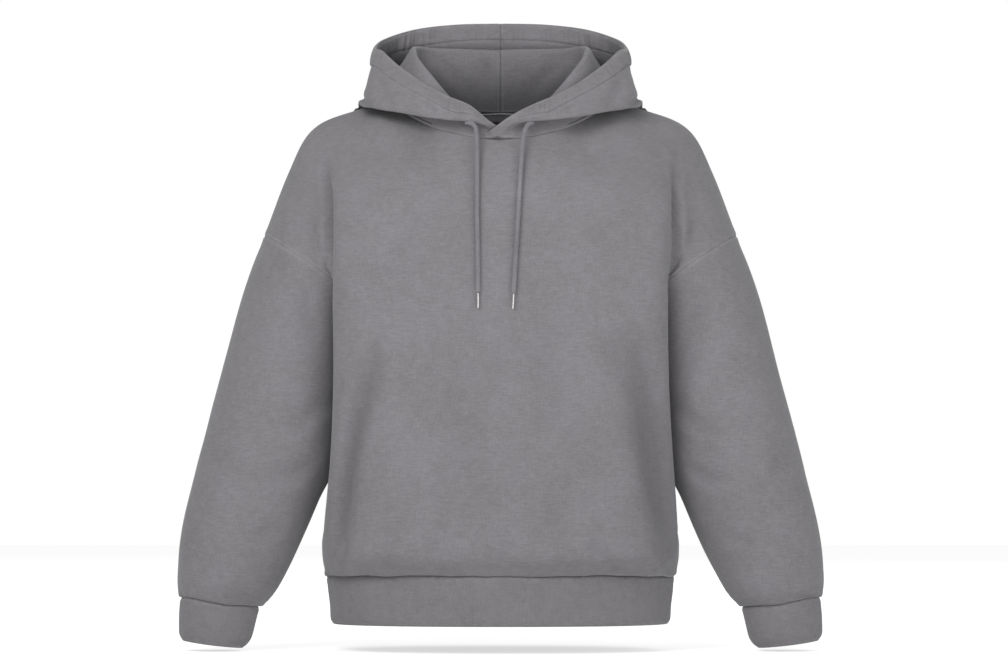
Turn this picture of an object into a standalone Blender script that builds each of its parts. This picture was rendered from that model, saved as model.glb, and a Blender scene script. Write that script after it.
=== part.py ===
# A pullover hoodie with dropped shoulders, filled out as when worn, with the hood down.
# Every cut piece is one closed wall of cloth: the outer face is a grid of points, read from a short table of
# sections, and the inner face is the same grid moved in by the thickness of the cloth.
#
# Frame: metres, +Z up, the front faces -Y and the wearer's left is +X. The origin is the middle of the neck
# opening at the height of the shoulders. The tables are in millimetres and hold the wearer's left half.

import math

import bmesh
import bpy
import numpy as np

MM = 0.001

# Cloth
FLEECE = 2.5 * MM  # brushed fleece, one layer
RIB = 3.4 * MM  # cuffs and hem band, rib folded double
TAPE = 1.0 * MM
TAPE_SHARES = (0.02, 0.12, 0.22)  # the tape's rows, as shares of the panel's first row
TAPE_GAP = 0.9 * MM  # clear of the panel's inner face, which turns between its rows
SEAM_GAP = 0.3 * MM  # between pieces that are sewn together
HOOD_GAP = 0.8 * MM  # the hood's edge above the neckline

# Grid steps between two sections, and between two named points of a section
PANEL_ROWS = 2
PANEL_COLUMNS = 2
SLEEVE_ROWS = 2
ARMHOLE_LEVELS = 5  # levels of the panels' tables from the shoulder down to the underarm
SLEEVE_AROUND = 2 * ARMHOLE_LEVELS * PANEL_ROWS
HOOD_ROWS = 3
HOOD_COLUMNS = 2
BAND_AROUND = 48

# Neckline: an oval, low in front, with the high points at the sides
NECK_HALF_WIDTH = 125
NECK_FRONT = 98
NECK_BACK = 65
NECK_HIGH = 8
NECK_FRONT_DROP = 43
NECK_BACK_DROP = 6

# Drawcords and their metal tips
CORD_DIAMETER = 5.4 * MM
AGLET_DIAMETER = 3.2 * MM
AGLET_LENGTH = 18 * MM

# Gathers, as the cloth is drawn in above the cuffs and the hem band
GATHER_DEPTH = 1.3
GATHER_ROWS = 3


def neckline(angle):
    """A point of the neck seam, at an angle from the front centre towards the wearer's left."""
    across = math.sin(math.radians(angle))
    forward = math.cos(math.radians(angle))
    if forward > 0:
        drop = NECK_FRONT_DROP * forward**1.6
        return (NECK_HALF_WIDTH * across, -NECK_FRONT * forward, NECK_HIGH - drop)
    drop = NECK_BACK_DROP * forward**2
    return (NECK_HALF_WIDTH * across, -NECK_BACK * forward, NECK_HIGH - drop)


# Front panel, one row for each level down it. The columns are named lines down the panel, each an (x, y, z):
# centre, chest, neck side, fold (the crest beside the arm), valley behind it, and arm. The edge is worked out.
FRONT_LEVELS = (
    # centre         chest            neck side         fold              valley            arm
    (neckline(0), neckline(34), neckline(90), (186, 0, -2), (228, 0, -24), (254.5, 0, -74)),
    ((0, -118, -76), (75, -113, -73), (134, -88, -62), (182, -64, -56), (216, -48, -66), (246, -47, -102)),
    ((0, -130, -115), (78, -128, -113), (140, -121, -109), (187, -103, -105), (210, -76, -108), (229, -73, -134)),
    ((0, -136, -155), (80, -135, -154), (145, -131, -152), (189, -115, -150), (204, -91, -150), (213, -87, -168)),
    ((0, -139, -195), (82, -138, -195), (148, -134, -195), (188, -119, -196), (199, -97, -209), (183, -77, -230)),
    ((0, -140, -235), (84, -139, -235), (150, -134, -235), (188, -118, -236), (197, -92, -246), (164, -46, -258)),
    ((0, -141, -300), (84, -140, -300), (150, -134, -300), (187, -116, -300), (196, -89, -300), (161, -43, -300)),
    ((0, -143, -370), (84, -142, -370), (150, -134, -370), (188, -111, -370), (199, -81, -370), (179, -40, -370)),
    ((0, -146, -440), (84, -144, -440), (150, -134, -440), (190, -106, -440), (204, -73, -440), (201, -36, -440)),
    ((0, -149, -500), (84, -146, -500), (150, -132, -500), (192, -100, -500), (208, -65, -500), (211, -31, -500)),
    ((0, -149, -530), (84, -146, -530), (150, -131, -530), (192, -99, -530), (209, -63, -530), (212.5, -30, -530)),
    ((0, -135, -553), (84, -130, -553), (150, -110, -554), (187, -83, -555), (202, -54, -556), (207, -27, -557)),
)

# Back panel, with the same levels and lines.
BACK_LEVELS = (
    (neckline(180), neckline(144), neckline(90), (186, 0, -2), (228, 0, -24), (254.5, 0, -74)),
    ((0, 88, -44), (75, 86, -43), (134, 72, -42), (182, 55, -50), (216, 45, -64), (246, 45, -102)),
    ((0, 104, -95), (78, 103, -95), (140, 97, -96), (186, 84, -100), (210, 70, -108), (229, 72, -134)),
    ((0, 113, -145), (80, 112, -145), (145, 108, -146), (186, 98, -148), (204, 88, -150), (213, 87, -168)),
    ((0, 118, -192), (82, 117, -192), (148, 113, -193), (186, 103, -195), (196, 92, -209), (182, 76, -230)),
    ((0, 121, -235), (84, 120, -235), (150, 115, -235), (186, 103, -236), (194, 84, -246), (163, 45, -258)),
    ((0, 123, -300), (84, 122, -300), (150, 116, -300), (185, 103, -300), (193, 82, -300), (160, 42, -300)),
    ((0, 126, -370), (84, 124, -370), (150, 117, -370), (186, 100, -370), (196, 76, -370), (177, 38, -370)),
    ((0, 131, -440), (84, 129, -440), (150, 119, -440), (188, 97, -440), (202, 69, -440), (200, 34, -440)),
    ((0, 138, -500), (84, 135, -500), (150, 121, -500), (190, 94, -500), (207.5, 62, -500), (211, 30, -500)),
    ((0, 139, -530), (84, 136, -530), (150, 121, -530), (190, 94, -530), (208, 61, -530), (212.5, 29, -530)),
    ((0, 131, -553), (84, 127, -553), (150, 108, -554), (187, 82, -555), (202, 54, -556), (207, 27, -557)),
)
NECK_SIDE = 2  # the line where the neckline turns into the shoulder seam

# Side seam from the underarm to the hem seam: x, y, z at each level.
SIDE_SEAM = (
    (160, 0, -232),
    (149, 0, -300),
    (168, 0, -370),
    (192, 0, -440),
    (211, 0, -500),
    (213.5, 0, -530),
    (209, 0, -557),
)

# Sleeve, one row for each ring down it: the outer and inner ends of the ring seen from the front (x, z), how
# far its middle lies from the side plane (y), and its depth from front to back.
SLEEVE_RINGS = (
    # outer x  z     inner x  z     y    depth
    (283, -149, 160, -232, 0, 176),
    (300, -192, 170, -262, -1, 168),
    (317, -248, 178, -306, -4, 157),
    (335, -316, 187, -364, -8, 149),
    (352, -380, 198, -424, -11, 145),
    (367, -438, 218, -466, -14, 140),
    (381, -500, 240.5, -518, -19, 130),
    (386, -548, 262, -562, -24, 114),
    (386, -569, 274.5, -581, -26, 100),
    (382.5, -581, 288.5, -593.5, -27, 80),
)
ARMHOLE_CROWN = 5  # rise of the seam's middle above the straight line between its ends

# Cuff, with the same columns.
CUFF_RINGS = (
    (382, -581.4, 289, -593.9, -27, 78),
    (384, -598, 292.5, -610, -28, 77),
    (384.5, -615, 297, -628, -29, 73),
    (384, -625, 302, -636, -30, 69),
    (380, -632, 308, -641, -30, 64),
)

# Hem band: z at the front, z at the side, half width, front and back.
HEM_RINGS = (
    (-553.4, -557.4, 208, 133.5, 130),
    (-570, -573, 207, 134, 130.5),
    (-590, -592, 204.5, 133, 130),
    (-606, -607, 203.5, 132, 129),
    (-611.5, -612.5, 201, 130, 127),
)
HEM_SQUARENESS = 2.35

# Hood, one row for each section round the neck, from the front corner to the centre back. Each section is a
# path up the panel: neck seam, ridge of the stand, fall, bottom of the bag, rise, channel and rim. In front
# the bottom is the lip that hangs over the neck seam, and at the back it is the bag behind the shoulders.
# The left panel's corner laps over the right panel's.
LAP_OVER = (
    ((-16, -102, -34), (-17, -103, -32), (-17.5, -104, -30), (-18, -105, -28), (-18, -105.5, -26.5),
     (-17.5, -105.5, -25), (-16.5, -105, -23.5)),
    ((3, -101.5, -33.6), (4, -102, -29), (5, -103.5, -24), (6, -106, -18.5), (7, -107, -14), (8, -106.5, -10),
     (8, -105, -6)),
)
LAP_UNDER = (
    ((-8, -97, -34), (-9, -96, -32), (-9.5, -96, -30), (-10, -96, -28.5), (-10, -96, -27), (-9.5, -96, -25.5),
     (-9, -95.5, -24)),
    ((7, -97, -33.9), (8, -96, -29), (9, -96.5, -25), (10, -98, -20.5), (11, -99, -18), (11, -98.5, -15.5),
     (11, -97, -13)),
)
HOOD_SECTIONS = (
    # neck seam        ridge            fall             bottom            rise              channel          rim
    (neckline(12.5), (30, -89, -9), (32, -95, -9), (34, -103.5, -12), (35, -106.5, -4), (35.5, -104.5, 2), (36, -99, 8)),
    (neckline(24), (55, -76, 10), (58, -84, 5), (62, -101, -10), (63.5, -104, 2), (64, -101, 10), (64, -92, 20)),
    (neckline(36), (83, -62, 40), (86, -72, 24), (90, -94, -6), (92, -96, 12), (92, -92, 22), (90, -80, 34)),
    (neckline(51), (103, -42, 64), (109, -50, 42), (129, -72, 2), (132, -73, 26), (130, -68, 42), (122, -58, 57)),
    (neckline(67), (110, -20, 74), (122, -26, 50), (160, -44, 6), (158, -46, 34), (150, -38, 56), (142, -32, 73)),
    (neckline(88), (112, 6, 78), (128, 6, 48), (167.5, -2, 8), (157, -2, 33), (154.5, -1, 58), (151.5, -1, 76)),
    (neckline(112), (104, 27, 78), (126, 42, 34), (160, 66, -30), (161, 68, 12), (149, 46, 62), (142, 37, 88)),
    (neckline(137), (84, 42, 77), (98, 70, 8), (124, 116, -88), (132, 126, 0), (110, 72, 68), (105, 70, 101)),
    (neckline(158), (46, 51, 76), (50, 86, -8), (58, 136, -116), (62, 148, 0), (54, 84, 74), (54, 88, 107.5)),
    (neckline(180), (0, 54, 75), (0, 90, -12), (0, 140, -124), (0, 154, 0), (0, 88, 76), (0, 93, 109)),
)

# Drawcords, from under the lip down to their tips.
CORD_LEFT_ROUTE = (
    (38, -99, -16), (33.5, -103, -17.5), (29.5, -107, -24), (27, -110.5, -34), (25, -118.5, -58), (23, -128.5, -90),
    (21, -136, -124), (19, -140, -160), (17, -142.5, -192), (15.5, -144, -219),
)
CORD_RIGHT_ROUTE = (
    (-41, -99, -15.5), (-35, -103.5, -16.5), (-30, -107, -21), (-28, -110.5, -32), (-27.5, -118.5, -58),
    (-27.5, -128.5, -90), (-27.5, -136, -124), (-27, -140, -160), (-26.5, -142.5, -192), (-26.5, -144, -218),
)


def clear_scene():
    for old in list(bpy.data.objects):
        bpy.data.objects.remove(old, do_unlink=True)


def smooth(points, steps, corners=()):
    """A smooth curve through the points, in equal steps of each span, with a sharp turn at each corner."""
    points = np.asarray(points, float)
    stops = [0, *corners, len(points) - 1]
    curve = []
    for first, last in zip(stops, stops[1:]):
        run = points[first : last + 1]
        before = 2 * run[0] - run[1]
        after = 2 * run[-1] - run[-2]
        run = np.concatenate([[before], run, [after]])
        for a, b, c, d in zip(run, run[1:], run[2:], run[3:]):
            for t in np.arange(steps) / steps:
                bend = (2 * a - 5 * b + 4 * c - d) * t**2 + (3 * b - a - 3 * c + d) * t**3
                curve.append(b + 0.5 * ((c - a) * t + bend))
    curve.append(points[-1])
    return np.array(curve)


def mirrored(points):
    return np.asarray(points, float) * (-1, 1, 1)


def ring(outer_x, outer_z, inner_x, inner_z, middle_y, depth, around, crown=0):
    """An oval ring of a sleeve or cuff, from its outer end round the front to its inner end and back."""
    angles = np.linspace(0, 2 * math.pi, around, endpoint=False)
    share = (1 + np.cos(angles)) / 2
    x = inner_x + (outer_x - inner_x) * share
    z = inner_z + (outer_z - inner_z) * share + crown * np.abs(np.sin(angles))
    y = middle_y - depth / 2 * np.sin(angles)
    return np.stack([x, y, z], axis=1)


def neck_edge(front):
    """The panel's top edge from one side of the neck to the other, at the panel's own columns."""
    centre, chest, side = (0, 34, 90) if front else (180, 144, 90)
    steps = np.arange(NECK_SIDE * PANEL_COLUMNS + 1) / PANEL_COLUMNS
    left = np.array([neckline(np.interp(step, (0, 1, 2), (centre, chest, side))) for step in steps])
    return np.concatenate([mirrored(left[:0:-1]), left])


def body_grid(levels, front):
    """The outer face of the front or back, as rows of points from one edge to the other."""
    lines = smooth(levels, PANEL_ROWS)
    loop = ring(*SLEEVE_RINGS[0], SLEEVE_AROUND, ARMHOLE_CROWN)
    half = len(loop) // 2
    arm_edge = loop[: half + 1] if front else np.roll(loop[::-1], 1, axis=0)[: half + 1]
    side = smooth(SIDE_SEAM, PANEL_ROWS)
    edge = np.concatenate([arm_edge, side[1:]])
    rows = []
    for level, (line, end) in enumerate(zip(lines, edge)):
        left = np.concatenate([line, [end]])
        whole = np.concatenate([mirrored(left[:0:-1]), left])
        middle = len(left) - 1
        corners = (middle - NECK_SIDE, middle + NECK_SIDE) if level == 0 else ()
        rows.append(smooth(whole, PANEL_COLUMNS, corners))
    grid = np.array(rows)
    middle = grid.shape[1] // 2
    reach = NECK_SIDE * PANEL_COLUMNS
    grid[0, middle - reach : middle + reach + 1] = neck_edge(front)
    return grid if front else grid[:, ::-1]


def sleeve_grid():
    rings = smooth(SLEEVE_RINGS, SLEEVE_ROWS)
    crowns = np.linspace(ARMHOLE_CROWN, 0, len(rings))
    grid = np.array([ring(*row, SLEEVE_AROUND, crown) for row, crown in zip(rings, crowns)])
    return grid[:, ::-1]


def cuff_grid():
    return np.array([ring(*row, SLEEVE_AROUND) for row in CUFF_RINGS])[:, ::-1]


def hem_grid():
    rows = []
    for front_z, side_z, half_width, front, back in HEM_RINGS:
        angles = np.linspace(0, 2 * math.pi, BAND_AROUND, endpoint=False)
        across = np.sin(angles)
        forward = np.cos(angles)
        power = 2 / HEM_SQUARENESS
        x = half_width * np.sign(across) * np.abs(across) ** power
        y = -np.where(forward > 0, front, back) * np.sign(forward) * np.abs(forward) ** power
        z = side_z + (front_z - side_z) * np.abs(forward)
        rows.append(np.stack([x, y, z], axis=1))
    return np.array(rows)


def hood_grid(lap):
    """One hood panel, as rows from the neck seam to the rim, each from the front corner to the centre back."""
    sections = np.array([*lap, *HOOD_SECTIONS], float)
    sections[:, 0, 2] += HOOD_GAP / MM
    columns = smooth(sections, HOOD_COLUMNS)
    return smooth(columns.transpose(1, 0, 2), HOOD_ROWS)


def tape_grid(back, normals):
    """The tape's outer face: just inside the back panel, along the back neck, ending short of the shoulders."""
    middle = back.shape[1] // 2
    reach = NECK_SIDE * PANEL_COLUMNS - 1
    inside = back - normals * (FLEECE + TAPE_GAP) / MM
    top, below = inside[:2, middle - reach : middle + reach + 1]
    return np.array([top + (below - top) * share for share in TAPE_SHARES])


def gathered(grid, around):
    """Every second column drawn in, most at the last row but one, as small gathers above a band."""
    grid = grid.copy()
    last = len(grid) - 1
    first = last - GATHER_ROWS
    for level in range(first, last):
        depth = GATHER_DEPTH * (level - first + 1) / (last - first)
        outward = grid[level] - (grid[level].mean(axis=0) if around else 0)
        outward[:, 2] = 0
        outward /= np.linalg.norm(outward, axis=1)[:, None]
        sign = np.where(np.arange(grid.shape[1]) % 2 == 0, -1, 1)
        grid[level] += outward * (depth * sign)[:, None]
    return grid


def key_of(point):
    return tuple(np.round(point, 2) + 0.0)


def own_normals(grid, around):
    """The outward normal of a grid at each of its points."""
    total = {}
    beyond = np.roll(grid, -1, axis=1) if around else grid[:, 1:]
    near = grid if around else grid[:, :-1]
    corners = (near[:-1], beyond[:-1], beyond[1:], near[1:])
    facing = np.cross(corners[2] - corners[0], corners[1] - corners[3])
    for corner in corners:
        for point, normal in zip(corner.reshape(-1, 3), facing.reshape(-1, 3)):
            key = key_of(point)
            total[key] = total.get(key, 0) + normal
    return {key: normal / np.linalg.norm(normal) for key, normal in total.items()}


def shared_normals(grids):
    """Outward normals at the points of each grid. Pieces that meet at a seam share one there, half way between
    their own, so that their walls end face to face."""
    own = [own_normals(grid, around) for grid, around in grids]
    found = []
    for grid, _ in grids:
        keys = [key_of(point) for point in grid.reshape(-1, 3)]
        joined = np.array([sum(other[key] for other in own if key in other) for key in keys])
        joined /= np.linalg.norm(joined, axis=1)[:, None]
        found.append(joined.reshape(grid.shape))
    return found


def pulled_in(grid, around):
    """The grid with its edges drawn in by half of the seam gap, so that sewn pieces don't touch."""
    half_gap = SEAM_GAP / MM / 2
    moved = grid.copy()
    ends = [(0, 1), (-1, -2)]
    for edge, inside in ends:
        way = grid[inside] - grid[edge]
        moved[edge] += half_gap * way / np.linalg.norm(way, axis=1)[:, None]
    if not around:
        for edge, inside in ends:
            way = moved[:, inside] - moved[:, edge]
            moved[:, edge] += half_gap * way / np.linalg.norm(way, axis=1)[:, None]
    return moved


def material(name, colour, roughness, metallic=0.0):
    finish = bpy.data.materials.new(name)
    finish.use_nodes = True
    shader = finish.node_tree.nodes["Principled BSDF"]
    shader.inputs["Base Color"].default_value = (*colour, 1)
    shader.inputs["Roughness"].default_value = roughness
    shader.inputs["Metallic"].default_value = metallic
    return finish


def wall(name, grid, normals, thickness, around, finish):
    """A closed wall of cloth: outer grid, inner grid, and a strip along each free edge."""
    rows, columns = grid.shape[:2]
    outer = grid.reshape(-1, 3) * MM
    inner = outer - normals.reshape(-1, 3) * thickness
    count = len(outer)
    last = columns if around else columns - 1
    faces = []
    for row in range(rows - 1):
        for column in range(last):
            a = row * columns + column
            b = row * columns + (column + 1) % columns
            faces.append((a, b, b + columns, a + columns))
            faces.append((a + columns + count, b + columns + count, b + count, a + count))
    edges = [[(row * columns + c, row * columns + (c + 1) % columns) for c in range(last)] for row in (0, rows - 1)]
    if not around:
        edges += [[(r * columns + c, (r + 1) * columns + c) for r in range(rows - 1)] for c in (0, columns - 1)]
    for a, b in sum(edges, []):
        faces.append((a, b, b + count, a + count))
    mesh = bpy.data.meshes.new(name)
    mesh.from_pydata(np.concatenate([outer, inner]).tolist(), [], faces)
    return finished(name, mesh, finish)


def finished(name, mesh, finish):
    """Turns the faces outwards, shades them smooth, and puts the object in the scene."""
    shape = bmesh.new()
    shape.from_mesh(mesh)
    bmesh.ops.recalc_face_normals(shape, faces=shape.faces)
    shape.to_mesh(mesh)
    shape.free()
    mesh.shade_smooth()
    mesh.set_sharp_from_angle(angle=math.radians(50))
    mesh.materials.append(finish)
    piece = bpy.data.objects.new(name, mesh)
    bpy.context.scene.collection.objects.link(piece)
    return piece


def build_body(fleece):
    front = body_grid(FRONT_LEVELS, front=True)
    back = body_grid(BACK_LEVELS, front=False)
    front = gathered(front, around=False)
    back = gathered(back, around=False)
    left = gathered(sleeve_grid(), around=True)
    right = mirrored(left)[:, ::-1]
    grids = [(front, False), (back, False), (left, True), (right, True)]
    names = ("front_panel", "back_panel", "sleeve_left", "sleeve_right")
    all_normals = shared_normals(grids)
    for name, (grid, around), normals in zip(names, grids, all_normals):
        wall(name, pulled_in(grid, around), normals, FLEECE, around, fleece)
    return back, all_normals[1]


def build_bands(rib):
    hem = hem_grid()
    cuff = cuff_grid()
    pieces = (("hem_band", hem), ("cuff_left", cuff), ("cuff_right", mirrored(cuff)[:, ::-1]))
    for name, grid in pieces:
        wall(name, grid, shared_normals([(grid, True)])[0], RIB, True, rib)


def build_hood(fleece):
    left = hood_grid(LAP_OVER)
    right = mirrored(hood_grid(LAP_UNDER))[:, ::-1]
    grids = [(left[::-1], False), (right[::-1], False)]
    for name, (grid, _), normals in zip(("hood_left", "hood_right"), grids, shared_normals(grids)):
        wall(name, pulled_in(grid, False), normals, FLEECE, False, fleece)


def build_tape(back, normals, finish):
    grid = tape_grid(back, normals)
    wall("neck_tape", grid, shared_normals([(grid, False)])[0], TAPE, False, finish)


def cord_tube(name, route, finish):
    path = smooth(route, 2) * MM
    curve = bpy.data.curves.new(name, "CURVE")
    curve.dimensions = "3D"
    curve.bevel_depth = CORD_DIAMETER / 2
    curve.bevel_resolution = 2
    curve.use_fill_caps = True
    spline = curve.splines.new("POLY")
    spline.points.add(len(path) - 1)
    for point, place in zip(spline.points, path):
        point.co = (*place, 1)
    curve.materials.append(finish)
    bpy.context.scene.collection.objects.link(bpy.data.objects.new(name, curve))


def aglet(name, route, finish):
    """A metal tip in line with the cord's end, rounded at its lower end."""
    end = np.array(route[-1], float) * MM
    way = end - np.array(route[-2], float) * MM
    way /= np.linalg.norm(way)
    side = np.cross(way, (0, 1, 0))
    side /= np.linalg.norm(side)
    forward = np.cross(way, side)
    profile = ((0, 1.0), (0.1, 1.06), (0.16, 1.0), (0.9, 0.96), (0.97, 0.8), (1.0, 0.45))
    angles = np.linspace(0, 2 * math.pi, 10, endpoint=False)
    start = end + way * SEAM_GAP
    points = []
    for along, wide in profile:
        for angle in angles:
            out = math.cos(angle) * side + math.sin(angle) * forward
            points.append(start + way * AGLET_LENGTH * along + out * AGLET_DIAMETER / 2 * wide)
    count = len(angles)
    faces = [tuple(range(count)), tuple(reversed(range(len(points) - count, len(points))))]
    for level in range(len(profile) - 1):
        for step in range(count):
            a = level * count + step
            b = level * count + (step + 1) % count
            faces.append((a, b, b + count, a + count))
    mesh = bpy.data.meshes.new(name)
    mesh.from_pydata([tuple(point) for point in points], [], faces)
    finished(name, mesh, finish)


def main():
    clear_scene()
    fleece = material("brushed fleece", (0.235, 0.228, 0.242), 0.95)
    rib = material("rib knit", (0.225, 0.218, 0.232), 0.95)
    tape = material("neck tape", (0.26, 0.255, 0.265), 0.9)
    cord = material("braided cord", (0.21, 0.205, 0.215), 0.85)
    metal = material("nickel", (0.62, 0.61, 0.6), 0.3, 1.0)
    back, back_normals = build_body(fleece)
    build_bands(rib)
    build_hood(fleece)
    build_tape(back, back_normals, tape)
    for side, route in (("left", CORD_LEFT_ROUTE), ("right", CORD_RIGHT_ROUTE)):
        cord_tube(f"drawcord_{side}", route, cord)
        aglet(f"aglet_{side}", route, metal)


main()
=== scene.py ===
import math

import bpy
import numpy as np
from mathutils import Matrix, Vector, noise


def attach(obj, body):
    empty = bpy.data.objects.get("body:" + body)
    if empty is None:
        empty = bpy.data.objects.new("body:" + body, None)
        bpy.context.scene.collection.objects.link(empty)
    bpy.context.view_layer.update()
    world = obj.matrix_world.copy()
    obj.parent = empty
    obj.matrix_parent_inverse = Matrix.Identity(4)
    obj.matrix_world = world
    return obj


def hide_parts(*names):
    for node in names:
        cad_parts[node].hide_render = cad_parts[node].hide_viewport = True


# A pullover hoodie with dropped shoulders and its hood down, filled out as when worn.
# Metres, +Z up, the front faces -Y and the wearer's left is +X. The tables are in millimetres.
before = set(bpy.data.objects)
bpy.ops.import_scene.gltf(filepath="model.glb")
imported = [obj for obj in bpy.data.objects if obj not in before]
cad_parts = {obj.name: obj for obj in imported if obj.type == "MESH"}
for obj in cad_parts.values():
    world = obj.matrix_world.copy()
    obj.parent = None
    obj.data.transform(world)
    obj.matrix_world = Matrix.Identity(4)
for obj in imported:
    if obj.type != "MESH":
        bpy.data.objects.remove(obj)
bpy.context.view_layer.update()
mm = 0.001

neck = {"halfWidth": 125, "front": 98, "back": 65, "high": 8, "frontDrop": 43, "backDrop": 6}


def neckline(angle):
    # a point of the neck seam, at an angle from the front centre towards the wearer's left
    across, forward = math.sin(math.radians(angle)), math.cos(math.radians(angle))
    reach, drop, power = ("front", "frontDrop", 1.6) if forward > 0 else ("back", "backDrop", 2)
    return (neck["halfWidth"] * across, -neck[reach] * forward, neck["high"] - neck[drop] * forward**power)


# one row for each level down the front: centre, chest, neck side, crest of the fold by the arm, valley, arm
frontLevels = (
    (neckline(0), neckline(34), neckline(90), (186, 0, -2), (228, 0, -24), (254.5, 0, -74)),
    ((0, -118, -76), (75, -113, -73), (134, -88, -62), (182, -64, -56), (216, -48, -66), (246, -47, -102)),
    ((0, -130, -115), (78, -128, -113), (140, -121, -109), (187, -103, -105), (210, -76, -108), (229, -73, -134)),
    ((0, -136, -155), (80, -135, -154), (145, -131, -152), (189, -115, -150), (204, -91, -150), (213, -87, -168)),
    ((0, -139, -195), (82, -138, -195), (148, -134, -195), (188, -119, -196), (199, -97, -209), (183, -77, -230)),
    ((0, -140, -235), (84, -139, -235), (150, -134, -235), (188, -118, -236), (197, -92, -246), (164, -46, -258)),
    ((0, -141, -300), (84, -140, -300), (150, -134, -300), (187, -116, -300), (196, -89, -300), (161, -43, -300)),
    ((0, -143, -370), (84, -142, -370), (150, -134, -370), (188, -111, -370), (199, -81, -370), (179, -40, -370)),
    ((0, -146, -440), (84, -144, -440), (150, -134, -440), (190, -106, -440), (204, -73, -440), (201, -36, -440)),
    ((0, -149, -500), (84, -146, -500), (150, -132, -500), (192, -100, -500), (208, -65, -500), (211, -31, -500)),
    ((0, -149, -530), (84, -146, -530), (150, -131, -530), (192, -99, -530), (209, -63, -530), (212.5, -30, -530)),
    ((0, -135, -553), (84, -130, -553), (150, -110, -554), (187, -83, -555), (202, -54, -556), (207, -27, -557)),
)
backLevels = (
    (neckline(180), neckline(144), neckline(90), (186, 0, -2), (228, 0, -24), (254.5, 0, -74)),
    ((0, 88, -44), (75, 86, -43), (134, 72, -42), (182, 55, -50), (216, 45, -64), (246, 45, -102)),
    ((0, 104, -95), (78, 103, -95), (140, 97, -96), (186, 84, -100), (210, 70, -108), (229, 72, -134)),
    ((0, 113, -145), (80, 112, -145), (145, 108, -146), (186, 98, -148), (204, 88, -150), (213, 87, -168)),
    ((0, 118, -192), (82, 117, -192), (148, 113, -193), (186, 103, -195), (196, 92, -209), (182, 76, -230)),
    ((0, 121, -235), (84, 120, -235), (150, 115, -235), (186, 103, -236), (194, 84, -246), (163, 45, -258)),
    ((0, 123, -300), (84, 122, -300), (150, 116, -300), (185, 103, -300), (193, 82, -300), (160, 42, -300)),
    ((0, 126, -370), (84, 124, -370), (150, 117, -370), (186, 100, -370), (196, 76, -370), (177, 38, -370)),
    ((0, 131, -440), (84, 129, -440), (150, 119, -440), (188, 97, -440), (202, 69, -440), (200, 34, -440)),
    ((0, 138, -500), (84, 135, -500), (150, 121, -500), (190, 94, -500), (207.5, 62, -500), (211, 30, -500)),
    ((0, 139, -530), (84, 136, -530), (150, 121, -530), (190, 94, -530), (208, 61, -530), (212.5, 29, -530)),
    ((0, 131, -553), (84, 127, -553), (150, 108, -554), (187, 82, -555), (202, 54, -556), (207, 27, -557)),
)
sideSeam = (
    (160, 0, -232), (149, 0, -300), (168, 0, -370), (192, 0, -440), (211, 0, -500), (213.5, 0, -530), (209, 0, -557),
)
# one row for each ring down the sleeve: outer x and z, inner x and z, y of its middle, depth
sleeveRings = (
    (283, -149, 160, -232, 0, 176),
    (300, -192, 170, -262, -1, 168),
    (317, -248, 178, -306, -4, 157),
    (335, -316, 187, -364, -8, 149),
    (352, -380, 198, -424, -11, 145),
    (367, -438, 218, -466, -14, 140),
    (381, -500, 240.5, -518, -19, 130),
    (386, -548, 262, -562, -24, 114),
    (386, -569, 274.5, -581, -26, 100),
    (382.5, -581, 288.5, -593.5, -27, 80),
)
cuffRings = (
    (382, -581.4, 289, -593.9, -27, 78),
    (384, -598, 292.5, -610, -28, 77),
    (384.5, -615, 297, -628, -29, 73),
    (384, -625, 302, -636, -30, 69),
    (380, -632, 308, -641, -30, 64),
)
# one row for each level of the hem band: z in front, z at the side, half width, front, back
hemRings = (
    (-553.4, -557.4, 208, 133.5, 130),
    (-570, -573, 207, 134, 130.5),
    (-590, -592, 204.5, 133, 130),
    (-606, -607, 203.5, 132, 129),
    (-611.5, -612.5, 201, 130, 127),
)
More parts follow.
